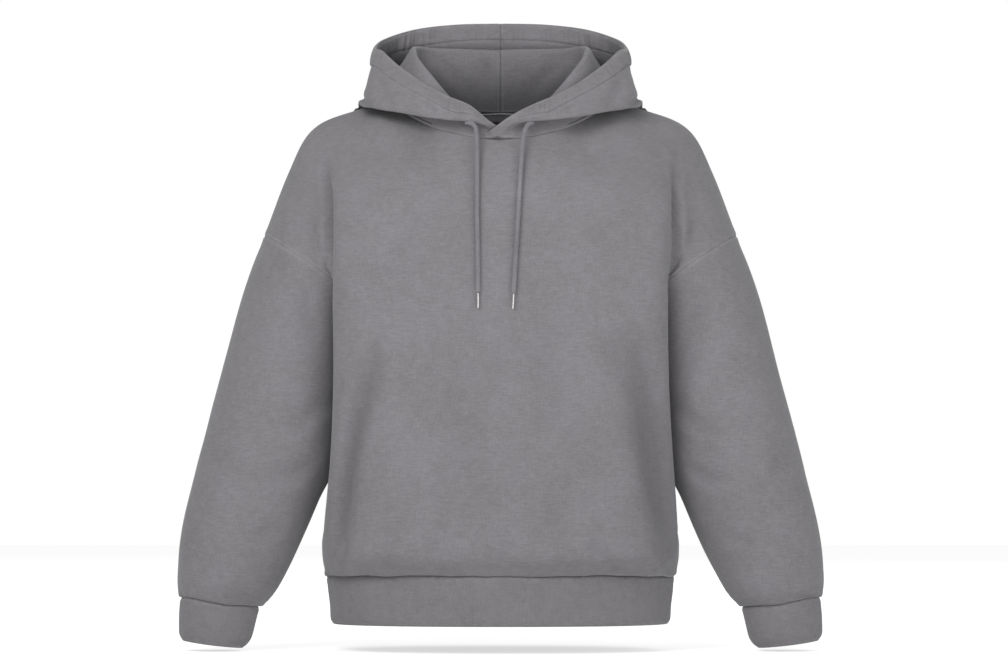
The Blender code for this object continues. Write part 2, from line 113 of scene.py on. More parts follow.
# the hood, one row for each section round the neck, from the front corner to the centre back:
# neck seam, ridge, fall, bottom, rise, channel, rim
lapOver = (
    ((-16, -102, -34), (-17, -103, -32), (-17.5, -104, -30), (-18, -105, -28), (-18, -105.5, -26.5),
     (-17.5, -105.5, -25), (-16.5, -105, -23.5)),
    ((3, -101.5, -33.6), (4, -102, -29), (5, -103.5, -24), (6, -106, -18.5), (7, -107, -14), (8, -106.5, -10),
     (8, -105, -6)),
)
lapUnder = (
    ((-8, -97, -34), (-9, -96, -32), (-9.5, -96, -30), (-10, -96, -28.5), (-10, -96, -27), (-9.5, -96, -25.5),
     (-9, -95.5, -24)),
    ((7, -97, -33.9), (8, -96, -29), (9, -96.5, -25), (10, -98, -20.5), (11, -99, -18), (11, -98.5, -15.5),
     (11, -97, -13)),
)
hoodSections = (
    (neckline(12.5), (30, -89, -9), (32, -95, -9), (34, -103.5, -12), (35, -106.5, -4), (35.5, -104.5, 2),
     (36, -99, 8)),
    (neckline(24), (55, -76, 10), (58, -84, 5), (62, -101, -10), (63.5, -104, 2), (64, -101, 10), (64, -92, 20)),
    (neckline(36), (83, -62, 40), (86, -72, 24), (90, -94, -6), (92, -96, 12), (92, -92, 22), (90, -80, 34)),
    (neckline(51), (103, -42, 64), (109, -50, 42), (129, -72, 2), (132, -73, 26), (130, -68, 42), (122, -58, 57)),
    (neckline(67), (110, -20, 74), (122, -26, 50), (160, -44, 6), (158, -46, 34), (150, -38, 56), (142, -32, 73)),
    (neckline(88), (112, 6, 78), (128, 6, 48), (167.5, -2, 8), (157, -2, 33), (154.5, -1, 58), (151.5, -1, 76)),
    (neckline(112), (104, 27, 78), (126, 42, 34), (160, 66, -30), (161, 68, 12), (149, 46, 62), (142, 37, 88)),
    (neckline(137), (84, 42, 77), (98, 70, 8), (124, 116, -88), (132, 126, 0), (110, 72, 68), (105, 70, 101)),
    (neckline(158), (46, 51, 76), (50, 86, -8), (58, 136, -116), (62, 148, 0), (54, 84, 74), (54, 88, 107.5)),
    (neckline(180), (0, 54, 75), (0, 90, -12), (0, 140, -124), (0, 154, 0), (0, 88, 76), (0, 93, 109)),
)
cordRoutes = {
    "left": (
        (38, -99, -16), (33.5, -103, -17.5), (29.5, -107, -24), (27, -110.5, -34), (25, -118.5, -58), (23, -128.5, -90),
        (21, -136, -124), (19, -140, -160), (17, -142.5, -192), (15.5, -144, -219),
    ),
    "right": (
        (-41, -99, -15.5), (-35, -103.5, -16.5), (-30, -107, -21), (-28, -110.5, -32), (-27.5, -118.5, -58),
        (-27.5, -128.5, -90), (-27.5, -136, -124), (-27, -140, -160), (-26.5, -142.5, -192), (-26.5, -144, -218),
    ),
}


def curveAt(points, places, before=None, after=None, corners=()):
    # a smooth curve through the points, read at places counted in points; before and after lead in and out
    points = np.asarray(points, float)
    last = len(points) - 1
    start = np.minimum(np.floor(places).astype(int), last - 1)
    share = (np.asarray(places) - start).reshape(-1, *[1] * (points.ndim - 1))
    b, c = points[start], points[start + 1]
    a, d = points[np.maximum(start - 1, 0)].copy(), points[np.minimum(start + 2, last)].copy()
    first = np.isin(start, (0, *corners))
    final = np.isin(start + 1, (last, *corners))
    a[first] = 2 * b[first] - c[first]
    d[final] = 2 * c[final] - b[final]
    if before is not None:
        a[start == 0] = before
    if after is not None:
        d[start + 1 == last] = after
    bend = (2 * a - 5 * b + 4 * c - d) * share**2 + (3 * b - a - 3 * c + d) * share**3
    return b + 0.5 * ((c - a) * share + bend)


def steps(count, each, near=(), far=()):
    # places from 0 to count, each in this many steps, with more of them near the two ends
    even = np.arange(count * each + 1) / each
    return np.unique(np.round(np.concatenate([even, near, count - np.asarray(far)]), 5))


def mirrored(points):
    # the same on the wearer's other side
    return np.asarray(points, float) * (-1, 1, 1)


def ovalRing(outerX, outerZ, innerX, innerZ, middleY, depth, angles, crown=0.0):
    # a ring round an arm, from its outer end; the crown lifts its front and back
    share = (1 + np.cos(angles)) / 2
    x = innerX + (outerX - innerX) * share
    z = innerZ + (outerZ - innerZ) * share + crown * np.abs(np.sin(angles))
    return np.stack([x, middleY - depth / 2 * np.sin(angles), z], axis=1)


def normalsOf(grid, around):
    # the way that the cloth faces at each point; around says that the grid closes on itself
    if around:
        across = np.roll(grid, -1, axis=1) - np.roll(grid, 1, axis=1)
    else:
        across = np.gradient(grid, axis=1)
    facing = np.cross(np.gradient(grid, axis=0), across)
    return facing / np.maximum(np.linalg.norm(facing, axis=2), 1e-9)[:, :, None]


def edgeOf(grid, around):
    # the places of a grid's edge points, as row and column numbers
    rows, columns = grid.shape[:2]
    found = [(r, c) for r in (0, rows - 1) for c in range(columns)]
    if not around:
        found += [(r, c) for r in range(1, rows - 1) for c in (0, columns - 1)]
    return found


def sewnNormals(grids):
    # where pieces share a seam point, all of them face half way between their own normals there
    normals = [normalsOf(grid, around) for grid, around in grids]
    total = {}
    for (grid, around), own in zip(grids, normals):
        for r, c in edgeOf(grid, around):
            key = tuple(np.round(grid[r, c], 2) + 0.0)
            total[key] = total.get(key, 0) + own[r, c]
    for (grid, around), own in zip(grids, normals):
        for r, c in edgeOf(grid, around):
            joined = total[tuple(np.round(grid[r, c], 2) + 0.0)]
            own[r, c] = joined / max(np.linalg.norm(joined), 1e-9)
    return normals


def runs(grid, axis):
    # how far each point is from the first one, along its row or column, in millimetres
    pace = np.linalg.norm(np.diff(grid, axis=axis), axis=2)
    way = np.cumsum(pace, axis=axis)
    return np.concatenate([np.zeros_like(way.take([0], axis=axis)), way], axis=axis)


def fromEdges(grid, around):
    # how far each point is from each edge, along the cloth
    down, across = runs(grid, 0), runs(grid, 1)
    far = {"top": down, "bottom": down[-1:] - down}
    if not around:
        far["start"], far["end"] = across, across[:, -1:] - across
    return far


def bell(distance, middle, width):
    # 1 at the middle, falling away softly on both sides
    return np.exp(-(((distance - middle) / width) ** 2))


def ease(value):
    # from 0 to 1 and slow at both ends
    value = np.clip(value, 0, 1)
    return value * value * (3 - 2 * value)


def troughAt(line, gaps, distance, facing, width, depth, ridge, turn=1):
    # how far a soft trough along the line moves each point, with a low ridge on one side, and which point is closest
    closest = distance.argmin(axis=1)
    every = np.arange(len(distance))
    span, gap = distance[every, closest], gaps[every, closest]
    side = turn * np.sign((np.cross(np.gradient(line, axis=0)[closest], facing) * gap).sum(axis=1))
    lift = abs(ridge) * depth * bell(span * side * np.sign(ridge), 1.7 * width, 1.1 * width)
    return lift - depth * bell(span, 0, width), closest


def creased(grid, normals, table):
    # troughs pressed into the cloth, or swells where the depth is minus, along routes snapped to the nearest points
    moved = np.zeros(grid.shape[:2])
    points = grid.reshape(-1, 3)
    facing = normals.reshape(-1, 3)
    # a route's depth from front to back counts least, as only its place across the panel is drawn with care
    weights = np.array([1, 0.1, 1])
    for route, width, depth, ridge in table:
        rough = curveAt(route, np.linspace(0, len(route) - 1, 28)) if len(route) > 1 else np.asarray(route, float)
        nearest = [np.argmin((((points - place) * weights) ** 2).sum(axis=1)) for place in rough]
        line = points[nearest]
        for _ in range(4):
            line[1:-1] = (line[:-2] + 2 * line[1:-1] + line[2:]) / 4
        gaps = points[:, None, :] - line[None, :, :]
        push, closest = troughAt(line, gaps, np.linalg.norm(gaps, axis=2), facing, width, depth, ridge)
        fade = np.sin(np.pi * (closest + 0.5) / len(line)) ** 0.8
        beyond = (closest == 0) | (closest == len(line) - 1)
        moved += (push * np.where(beyond, fade * 0.7, fade)).reshape(grid.shape[:2])
    return moved


def rumple(grid, size, height, seed):
    # slow unevenness of worn cloth
    shift = Vector((seed * 7.3, seed * 3.1, seed * 5.7))
    values = [noise.noise(Vector(point) / size + shift) for point in grid.reshape(-1, 3)]
    return height * np.array(values).reshape(grid.shape[:2])


def waves(along, size, seed):
    # uneven small gathers along a seam
    values = [
        noise.noise(Vector((place / size, seed * 4.7, 0)))
        + 0.5 * noise.noise(Vector((place / size * 2.3, seed, 9)))
        for place in along.ravel()
    ]
    return np.array(values).reshape(along.shape)


def gathers(along, pitch, seed):
    # small folds of uneven size and spacing, counted along a seam
    values = []
    for place in along.ravel():
        drift = noise.noise(Vector((place / (3.1 * pitch), seed * 2.9, 4.0)))
        size = 0.5 + 1.1 * noise.noise(Vector((place / (2.2 * pitch), seed * 5.3, 8.0)))
        values.append(math.cos(2 * math.pi * (place / pitch + 1.1 * drift)) * max(size, 0.06))
    return np.array(values).reshape(along.shape)


def wavySeam(grid, row, reach=14.0, size=34.0, height=1.9):
    # pieces that meet at a seam follow the same slow waves up and down, fading out away from it
    wave = np.array([noise.noise(Vector((x / size, y / size, 3.7))) for x, y, _ in grid[row]]) * height
    away = np.abs(runs(grid, 0) - runs(grid, 0)[row])
    moved = grid.copy()
    moved[:, :, 2] += wave[None, :] * (1 - ease(away / reach))
    return moved


def seamDip(distance, dip=0.9, swell=0.35):
    # the surface sinks into a seam and swells a little beside it
    return -dip * bell(distance, 0, 1.5) + swell * bell(distance, 4.5, 3.2)


def wornEdge(*distances):
    # where a seam or a fold has rubbed pale
    return np.clip(sum(bell(distance, 1.6, 1.6) for distance in distances), 0, 1)


def placed(name, data):
    # a new object in the scene, at the origin
    piece = bpy.data.objects.new(name, data)
    bpy.context.scene.collection.objects.link(piece)
    return piece


# camera. The cords' routes were measured against its view
view = {"place": (0.0042, -8.0, -0.2688), "sensor": 36, "lens": 238.1}
cameraData = bpy.data.cameras.new("camera")
cameraData.sensor_width = view["sensor"]
cameraData.lens = view["lens"]
camera = placed("camera", cameraData)
camera.location = view["place"]
camera.rotation_euler = (math.radians(90), 0, 0)
bpy.context.scene.camera = camera

# drawcords: round braid, each run into a plain metal tip
cord = {
    "diameter": 5.4,
    "around": 32, "step": 0.45,
    "braidPitch": 9.0, "strands": 4, "braidDepth": 0.16,
    "taper": 3.0, "endShare": 0.62,
}
# the profile is the distance from the crimped end and the share of the radius there
aglet = {
    "diameter": 3.2, "around": 28, "gap": 0.3,
    "profile": (
        (0, 0.2), (0.05, 0.92), (0.25, 1.03), (0.7, 1.05), (1.3, 1.04), (1.6, 0.99), (1.9, 1.0),
        (8, 1.0), (15.6, 0.99), (16.8, 0.94), (17.6, 0.8), (17.95, 0.55), (18, 0.1),
    ),
}


def alongPath(route):
    fine = curveAt(route, np.linspace(0, len(route) - 1, 900))
    way = runs(fine[None], 1)[0]
    places = np.append(np.arange(0, way[-1], cord["step"]), way[-1])
    path = np.stack([np.interp(places, way, fine[:, axis]) for axis in range(3)], axis=1)
    return path, places


def framesOf(path):
    # a side and an upward direction at each point, carried along without twisting
    ways = np.gradient(path, axis=0)
    ways /= np.linalg.norm(ways, axis=1)[:, None]
    side = np.cross(ways[0], (0.3, 0.2, 1))
    sides = []
    for way in ways:
        side = side - way * side.dot(way)
        side = side / np.linalg.norm(side)
        sides.append(side)
    sides = np.array(sides)
    return ways, sides, np.cross(ways, sides)


def tube(name, path, places, radii, spread):
    # a closed tube along the path; radii holds one radius for each point of each ring
    ways, sides, ups = framesOf(path)
    count = radii.shape[1]
    angles = np.linspace(0, 2 * math.pi, count, endpoint=False)
    turnX, turnY = np.cos(angles)[None, :, None], np.sin(angles)[None, :, None]
    out = turnX * sides[:, None, :] + turnY * ups[:, None, :]
    points = (path[:, None, :] + out * radii[:, :, None]).reshape(-1, 3)
    points = np.concatenate([points, path[:1], path[-1:]])
    rings = len(path)
    r, c = np.meshgrid(np.arange(rings - 1), np.arange(count), indexing="ij")
    a, b = (r * count + c).ravel(), (r * count + (c + 1) % count).ravel()
    faces = np.stack([a, b, b + count, a + count], 1).tolist()
    k = np.arange(count)
    caps = np.stack([np.full(count, rings * count), (k + 1) % count, k], 1).tolist()
    last = (rings - 1) * count
    caps += np.stack([np.full(count, rings * count + 1), last + k, last + (k + 1) % count], 1).tolist()
    mesh = bpy.data.meshes.new(name)
    mesh.from_pydata((points * mm).tolist(), [], faces + caps)
    layer = mesh.uv_layers.new(name="cloth")
    flat = np.zeros((len(mesh.loops), 2), np.float32)
    girth = spread * mm
    u0, u1 = c.ravel() / count * girth, (c.ravel() + 1) / count * girth
    v0, v1 = places[r.ravel()] * mm, places[r.ravel() + 1] * mm
    flat[: 4 * len(u0)] = np.stack([u0, v0, u1, v0, u1, v1, u0, v1], 1).reshape(-1, 2)
    layer.data.foreach_set("uv", flat.reshape(-1))
    mesh.shade_smooth()
    return placed(name, mesh)


def cordPiece(side):
    path, places = alongPath(cordRoutes[side])
    angles = np.linspace(0, 2 * math.pi, cord["around"], endpoint=False)
    turn = 2 * math.pi * places[:, None] / cord["braidPitch"]
    count = cord["strands"]
    # strands wind both ways, and each bulges where it lies over the other set
    over = np.cos(count * (angles[None, :] + turn))
    under = np.cos(count * (angles[None, :] - turn))
    radii = cord["diameter"] / 2 + cord["braidDepth"] * (np.maximum(over, under) - 0.55)
    left = places[-1] - places
    # drawn in to the tip, and closed at the very end
    narrow = cord["endShare"] + (1 - cord["endShare"]) * ease(left / cord["taper"])
    radii = np.minimum(radii * narrow[:, None], 0.4 + left[:, None] * 2)
    return tube("cord" + side.capitalize(), path, places, radii, math.pi * cord["diameter"]), path


def agletPiece(side):
    route = cordRoutes[side]
    end, before = np.array(route[-1], float), np.array(route[-2], float)
    way = (end - before) / np.linalg.norm(end - before)
    places, shares = np.array(aglet["profile"], float).T
    path = end + way * aglet["gap"] + way * places[:, None]
    radii = np.repeat(aglet["diameter"] / 2 * shares[:, None], aglet["around"], axis=1)
    return tube("aglet" + side.capitalize(), path, places, radii, math.pi * aglet["diameter"])


print("hoodie: drawcords")
cordPieces = {}
for side in ("left", "right"):
    cordPieces[side] = (*cordPiece(side), agletPiece(side))


def shell(name, outer, inner, spread, around, worn, rounded=(), inside=None, troughShade=None):
    # a closed wall of cloth from its two faces. The spread holds (across, along) in metres for the cloth's own UV.
    # Edges named in rounded turn over in a soft roll, as a folded edge does. The last two give painted shade from 0 to
    # 1:
    # on each inner point, in full unless given, and on each point in a trough, a pucker or a seam groove.
    rows, columns = outer.shape[:2]
    points = [outer.reshape(-1, 3), inner.reshape(-1, 3)]
    wear = [worn.ravel(), worn.ravel()]
    # painted shade: none on the outer face, on the inner face in full unless given
    depth = [np.zeros(worn.size), np.ones(worn.size) if inside is None else inside.ravel()]
    # painted shade in troughs, puckers and seam grooves, the same on both faces
    dip = [np.zeros(worn.size) if troughShade is None else troughShade.ravel()] * 2
    count = rows * columns
    total = 2 * count
    last = columns if around else columns - 1
    r, c = np.meshgrid(np.arange(rows - 1), np.arange(last), indexing="ij")
    a, b = (r * columns + c).ravel(), (r * columns + (c + 1) % columns).ravel()
    quads = [np.stack([a, b, b + columns, a + columns], 1)]
    quads.append(quads[0][:, ::-1] + count)
    cell = np.stack([spread[r, c], spread[r, c + 1], spread[r + 1, c + 1], spread[r + 1, c]], 2)
    cell = cell.reshape(-1, 4, 2)
    corners = [cell, cell[:, ::-1]]
    whole = slice(None)
    edges = {"top": ((0, whole), (1, whole)), "bottom": ((rows - 1, whole), (rows - 2, whole))}
    if not around:
        edges["start"] = ((whole, 0), (whole, 1))
        edges["end"] = ((whole, columns - 1), (whole, columns - 2))
    numbers = np.arange(count).reshape(rows, columns)
    for edge, (place, near) in edges.items():
        line = numbers[place]
        out = outer[place] - outer[near]
        out = out / np.maximum(np.linalg.norm(out, axis=1), 1e-9)[:, None]
        strips = [line]
        if edge in rounded:
            middle = (outer[place] + inner[place]) / 2
            radius = np.linalg.norm(outer[place] - inner[place], axis=1)[:, None] / 2
            for angle in (30, 60, 90, 120, 150):
                turn = math.radians(angle)
                rolled = math.cos(turn) * (outer[place] - middle) + math.sin(turn) * radius * out
                points.append(middle + rolled)
                wear.append(np.ones(len(line)))
                depth.append(np.zeros(len(line)))
                dip.append(np.zeros(len(line)))
                strips.append(np.arange(len(line)) + total)
                total += len(line)
        strips.append(line + count)
        ends = len(line) if around else len(line) - 1
        k = np.arange(ends)
        follow = (k + 1) % len(line)
        for one, two in zip(strips, strips[1:]):
            quad = np.stack([one[k], two[k], two[follow], one[follow]], 1)
            here, there = spread[place][k], spread[place][k + 1]
            flat = np.stack([here, here, there, there], 1)
            if edge in ("bottom", "start"):
                quad, flat = quad[:, ::-1], flat[:, ::-1]
            quads.append(quad)
            corners.append(flat)
    mesh = bpy.data.meshes.new(name)
    mesh.from_pydata((np.concatenate(points) * mm).tolist(), [], np.concatenate(quads).tolist())
    layer = mesh.uv_layers.new(name="cloth")
    layer.data.foreach_set("uv", np.concatenate(corners).reshape(-1).astype(np.float32))
    # the rubbed pale edges and the two painted shades, as attributes for the material
    for label, values in (("worn", wear), ("inside", depth), ("troughShade", dip)):
        values = np.concatenate(values).astype(np.float32)
        mesh.attributes.new(label, "FLOAT", "POINT").data.foreach_set("value", values)
    mesh.shade_smooth()
    return placed(name, mesh)


def clothSpread(grid, around, middle=None):
    # the cloth's own flat coordinates in metres, measured along it
    closed = np.concatenate([grid, grid[:, :1]], axis=1) if around else grid
    across, along = runs(closed, 1), runs(closed, 0)
    if middle is not None:
        across = across - across[:, middle : middle + 1]
    return np.stack([across, along], axis=2) * mm


def outline(grid, normals, distances, which, lift):
    # a line on the cloth at a set distance from one of its edges, lifted off the surface
    raised = grid + normals * lift
    if which in ("start", "end"):
        raised = raised.transpose(1, 0, 2)
    if which in ("bottom", "end"):
        raised = raised[::-1]
    way = runs(raised, 0)
    line = []
    for column in range(raised.shape[1]):
        far = distances[column] if np.ndim(distances) else distances
        line.append([np.interp(far, way[:, column], raised[:, column, axis]) for axis in range(3)])
    return np.array(line)


# body and sleeves
body = {
    "thickness": 2.4, "sleeveCrown": 5,
    "rowSteps": 11, "columnSteps": 13,
    "rumpleSize": 95, "rumpleHeight": 1.3, "fineSize": 38, "fineHeight": 0.35,
    "gatherPitch": 11.0, "gatherHeight": 1.7, "gatherReach": 9,
    "plainTop": 16, "plainBottom": 5, "plainSide": 12,  # how far folds keep off each seam
    "fullShadeDepth": 9,  # the trough depth at which the painted shade is darkest
}
# the route as x, y, z points, then width and depth, minus for a swell, and the ridge beside it: its share of the
# depth, minus for the other side
frontCreases = (
    (((-145, -140, -273), (-164, -138, -344), (-182, -130, -415), (-189, -125, -486), (-200, -90, -540)),
     15, 10.0, 0.35),
    (((144, -140, -250), (172, -138, -344), (184, -130, -415), (197, -120, -486), (204, -90, -535)),
     26, 12.0, -0.3),
    (((113, -140, -259), (130, -140, -292), (143, -140, -325)), 7, 1.6, -0.6),
    (((113, -140, -518), (128, -140, -534), (140, -140, -550)), 7, 2.2, -0.5),
    (((179, -120, -506), (192, -110, -528), (203, -90, -550)), 7, 2.2, 0.4),
    (((-183, -120, -506), (-187, -112, -530), (-188, -104, -553)), 5, 3.4, 0.5),
    (((-210, -60, -50), (-205, -80, -100), (-202, -95, -150), (-199, -100, -215)), 6.5, 8.5, 0.35),
    (((213, -60, -50), (208, -80, -100), (209, -95, -150), (205, -100, -215)), 6.5, 7.0, -0.35),
    (((-60, -140, -470), (-75, -140, -510), (-84, -140, -548)), 11, 1.6, 0.4),
    (((48, -140, -440), (66, -140, -500), (72, -140, -546)), 13, 1.5, -0.4),
    (((156, -30, -4), (134, -62, -24), (100, -84, -42)), 24, -12, 0.0),
    (((-156, -30, -4), (-134, -62, -24), (-100, -84, -42)), 24, -12, 0.0),
    (((-96, -130, -120), (-118, -135, -170), (-128, -140, -228)), 16, 1.4, 0.3),
    (((100, -130, -110), (124, -135, -165), (138, -140, -228)), 16, 1.3, -0.3),
    (((-232, -60, -118), (-222, -66, -150), (-216, -72, -176)), 8, 2.6, 0.4),
    (((236, -60, -118), (226, -66, -148), (220, -72, -172)), 8, 2.4, 0.4),
    (((30, -140, -250), (52, -142, -330), (44, -143, -400)), 30, 1.4, 0.3),
    (((-58, -140, -330), (-40, -142, -400), (-50, -143, -460)), 28, 1.3, -0.3),
    (((6, -146, -480), (-4, -148, -520), (2, -146, -548)), 12, 1.2, 0.4),
    (((112, -140, -480), (108, -142, -516), (100, -138, -548)), 10, 1.4, 0.4),
    (((-128, -138, -500), (-134, -136, -528), (-130, -128, -549)), 9, 1.6, -0.4),
)
backCreases = (
    (((136, 120, -210), (158, 120, -300), (168, 120, -390), (184, 115, -525)), 18, 3.4, 0.5),
    (((-130, 120, -205), (-150, 120, -285), (-170, 120, -380), (-180, 115, -530)), 18, 3.4, -0.5),
    (((-70, 110, -120), (-20, 116, -150), (42, 116, -156), (86, 110, -132)), 15, 1.8, 0.4),
    (((60, 120, -430), (76, 125, -490), (70, 130, -548)), 14, 1.8, 0.4),
    (((-44, 120, -455), (-66, 125, -505), (-60, 130, -549)), 13, 1.7, -0.4),
    (((-118, 120, -330), (-138, 120, -390)), 9, 1.4, 0.4),
    (((112, 120, -500), (130, 125, -548)), 9, 1.8, -0.4),
)
sleeveCreases = (
    (((238, -70, -205), (232, -80, -245), (222, -78, -290)), 12, 2.6, 0.4),
    (((205, -76, -345), (232, -82, -372), (262, -86, -380)), 10, 2.4, 0.5),
    (((216, -72, -415), (246, -86, -438), (280, -88, -440)), 11, 2.6, 0.5),
    (((258, -72, -500), (286, -82, -512), (312, -82, -508)), 9, 2.0, 0.5),
    (((352, -66, -395), (336, -80, -420), (312, -84, -432)), 12, 1.8, -0.4),
    (((268, 78, -225), (250, 84, -262), (236, 78, -300)), 13, 2.4, 0.4),
    (((206, 70, -350), (238, 74, -376), (276, 70, -384)), 11, 2.6, 0.5),
    (((228, 60, -430), (262, 62, -448), (300, 58, -446)), 11, 2.4, 0.5),
    (((366, 20, -440), (352, 46, -462), (322, 54, -476)), 11, 2.2, -0.5),
    (((274, 40, -530), (300, 42, -540), (326, 38, -534)), 9, 1.8, 0.5),
    (((186, 0, -330), (196, -30, -352), (212, -58, -362)), 9, 2.0, 0.5),
)

rowPlaces = steps(11, body["rowSteps"], (0.012, 0.03, 0.055), (0.03, 0.07))
columnPlaces = steps(12, body["columnSteps"], (0.015, 0.04), (0.015, 0.04))
armPlaces = rowPlaces[rowPlaces <= 5]
armAngles = armPlaces / 5 * math.pi
sleeveAngles = np.concatenate([armAngles, 2 * math.pi - armAngles[-2:0:-1]])


def panelGrid(levels, other, front):
    levels, other = np.array(levels, float), np.array(other, float)
    # the shoulder seam runs smoothly from panel to panel, but the neckline is an edge
    before = 2 * levels[0] - levels[1]
    before[2:] = other[1, 2:]
    lines = curveAt(levels, rowPlaces, before=before)
    otherLines = curveAt(other, rowPlaces)
    angles = armAngles if front else -armAngles
    armhole = ovalRing(*sleeveRings[0], angles, body["sleeveCrown"])
    edge = np.concatenate([armhole, curveAt(sideSeam, rowPlaces[rowPlaces > 5] - 5)])
    rows = []
    for place, line, beyond, end in zip(rowPlaces, lines, otherLines, edge):
        left = np.concatenate([line, [end]])
        whole = np.concatenate([mirrored(left[:0:-1]), left])
        joined = ease((place - 5) / 0.8)
        lead = (1 - joined) * (2 * left[-1] - left[-2]) + joined * beyond[-1]
        if place == 0:
            middle = neckRow(columnPlaces, front)
            row = curveAt(whole, columnPlaces, corners=(4, 8))
            inNeck = (columnPlaces >= 4) & (columnPlaces <= 8)
            row[inNeck] = middle[inNeck]
        else:
            row = curveAt(whole, columnPlaces, before=lead * (-1, 1, 1), after=lead)
        rows.append(row)
    grid = np.array(rows)
    return grid if front else grid[:, ::-1]


def neckRow(places, front):
    # the neck seam across one panel, from side to side through its centre
    angles = np.interp(np.abs(places - 6), (0, 1, 2), (0, 34, 90) if front else (180, 144, 90))
    row = np.array([neckline(angle) for angle in angles])
    row[:, 0] *= np.sign(places - 6)
    return row


def sleeveGrid():
    places = steps(9, 13, (0.03, 0.07), (0.05, 0.11))
    rings = curveAt(sleeveRings, places)
    crowns = body["sleeveCrown"] * (1 - places / 9)
    grid = np.array([ovalRing(*ring, sleeveAngles, crown) for ring, crown in zip(rings, crowns)])
    return grid[:, ::-1]


def dressed(name, grid, normals, around, creases, seed, middle=None):
    # a panel or a sleeve with its seams, folds, rumples, and gathers where it is sewn to a rib band
    far = fromEdges(grid, around)
    keep = ease(far["top"] / body["plainTop"]) * ease(far["bottom"] / body["plainBottom"])
    dip = seamDip(far["top"]) + seamDip(far["bottom"], 1.4, 0.7)
    worn = [far["top"], far["bottom"]]
    if not around:
        keep = keep * ease(far["start"] / body["plainSide"]) * ease(far["end"] / body["plainSide"])
        dip = dip + seamDip(far["start"]) + seamDip(far["end"])
        worn += [far["start"], far["end"]]
    spread = clothSpread(grid, around, middle)
    along = spread[:, : grid.shape[1], 0] / mm
    pull = ease(far["bottom"] / 2.5) * np.exp(-far["bottom"] / body["gatherReach"]) * body["gatherHeight"]
    folds = keep * creased(grid, normals, creases)
    offset = dip + folds + keep * rumple(grid, body["rumpleSize"], body["rumpleHeight"], seed)
    offset = offset + rumple(grid, body["fineSize"], body["fineHeight"], seed + 3) * keep
    offset = offset + pull * gathers(along, body["gatherPitch"], seed)
    outer = grid + normals * offset[:, :, None]
    inner = outer - normals * body["thickness"]
    # painted shade, darker the deeper the trough
    troughShade = np.clip(-folds / body["fullShadeDepth"], 0, 1)
    return shell(name, outer, inner, spread, around, wornEdge(*worn), troughShade=troughShade), outer


print("hoodie: body and sleeves")
frontGrid = wavySeam(panelGrid(frontLevels, backLevels, True), -1)
backGrid = wavySeam(panelGrid(backLevels, frontLevels, False), -1)
leftSleeve = wavySeam(sleeveGrid(), -1)
rightSleeve = mirrored(leftSleeve)[:, ::-1]
bodyGrids = [(frontGrid, False), (backGrid, False), (leftSleeve, True), (rightSleeve, True)]
frontNormals, backNormals, leftNormals, rightNormals = sewnNormals(bodyGrids)
centreColumn = len(columnPlaces) // 2
frontPiece, frontOuter = dressed("front", frontGrid, frontNormals, False, frontCreases, 1, centreColumn)
backPiece, backOuter = dressed("back", backGrid, backNormals, False, backCreases, 2, centreColumn)
leftPiece, _ = dressed("sleeveLeft", leftSleeve, leftNormals, True, sleeveCreases, 3)
# the other arm's folds are the same, a little higher, wider and shallower
mirroredCreases = [([(-x, y, z + 6) for x, y, z in route], width * 1.06, depth * 0.92, -ridge)
                   for route, width, depth, ridge in sleeveCreases]
rightPiece, _ = dressed("sleeveRight", rightSleeve, rightNormals, True, mirroredCreases, 4)

# ribbed bands, each one strip folded double. Girths are those that the ribs are counted on
rib = {
    "pitch": 3.0, "depth": 0.14, "samples": 4, "hemGirth": 1060, "cuffGirth": 262,
    "thickness": 3.4, "tuckIn": 2.9, "tuckUp": 3.2, "hemSquareness": 2.35,
    "rumpleSize": 60, "rumpleHeight": 0.8, "gatherSize": 11, "gatherHeight": 0.7, "gatherReach": 9,
}


def hemGrid(angles, places):
    # rings between an oval and a rounded oblong, lower at the sides than in front
    power = 2 / rib["hemSquareness"]
    across, forward = np.sin(angles), np.cos(angles)
    rows = []
    for frontZ, sideZ, halfWidth, front, back in curveAt(hemRings, places):
        x = halfWidth * np.sign(across) * np.abs(across) ** power
        y = -np.where(forward > 0, front, back) * np.sign(forward) * np.abs(forward) ** power
        rows.append(np.stack([x, y, sideZ + (frontZ - sideZ) * np.abs(forward)], axis=1))
    return np.array(rows)


def cuffGrid(angles, places):
    return np.array([ovalRing(*ring, angles) for ring in curveAt(cuffRings, places)])


def evenAround(makeGrid, girth):
    # angles that space the ribs evenly round a band, measured on its middle ring
    count = int(round(girth / rib["pitch"])) * rib["samples"]
    angles = np.linspace(0, 2 * math.pi, 721)
    way = runs(makeGrid(angles, [2.0]), 1)[0]
    return np.interp(np.linspace(0, way[-1], count, endpoint=False), way, angles)


def bandPiece(name, grid, seed):
    # the sewn edge turns up inside the body or the sleeve
    edge = grid[:1] - normalsOf(grid, True)[:1] * rib["tuckIn"] + (0, 0, rib["tuckUp"])
    grid = np.concatenate([edge, grid])
    normals = normalsOf(grid, True)
    far = fromEdges(grid, True)
    spread = clothSpread(grid, True)
    along = spread[:, : grid.shape[1], 0] / mm
    far["top"] = np.maximum(far["top"] - far["top"][1:2], 0)
    keep = ease(far["top"] / 6) * ease(far["bottom"] / 8)
    offset = seamDip(far["top"], 0.5, 0.5) + keep * rumple(grid, rib["rumpleSize"], rib["rumpleHeight"], seed)
    pull = ease(far["top"] / 3) * np.exp(-far["top"] / rib["gatherReach"]) * rib["gatherHeight"]
    offset = offset + pull * waves(along, rib["gatherSize"], seed)
    outer = grid + normals * offset[:, :, None]
    inner = outer - normals * rib["thickness"]
    piece = shell(name, outer, inner, spread, True, wornEdge(far["top"], far["bottom"]), rounded=("bottom",))
    # every ring of the band's mesh has the same number of points, so the ribs run straight up it
    rings = len(piece.data.vertices) // grid.shape[1]
    phases = np.tile(np.arange(grid.shape[1]) / rib["samples"], rings).astype(np.float32)
    piece.data.attributes.new("ribPhase", "FLOAT", "POINT").data.foreach_set("value", phases)
    return piece


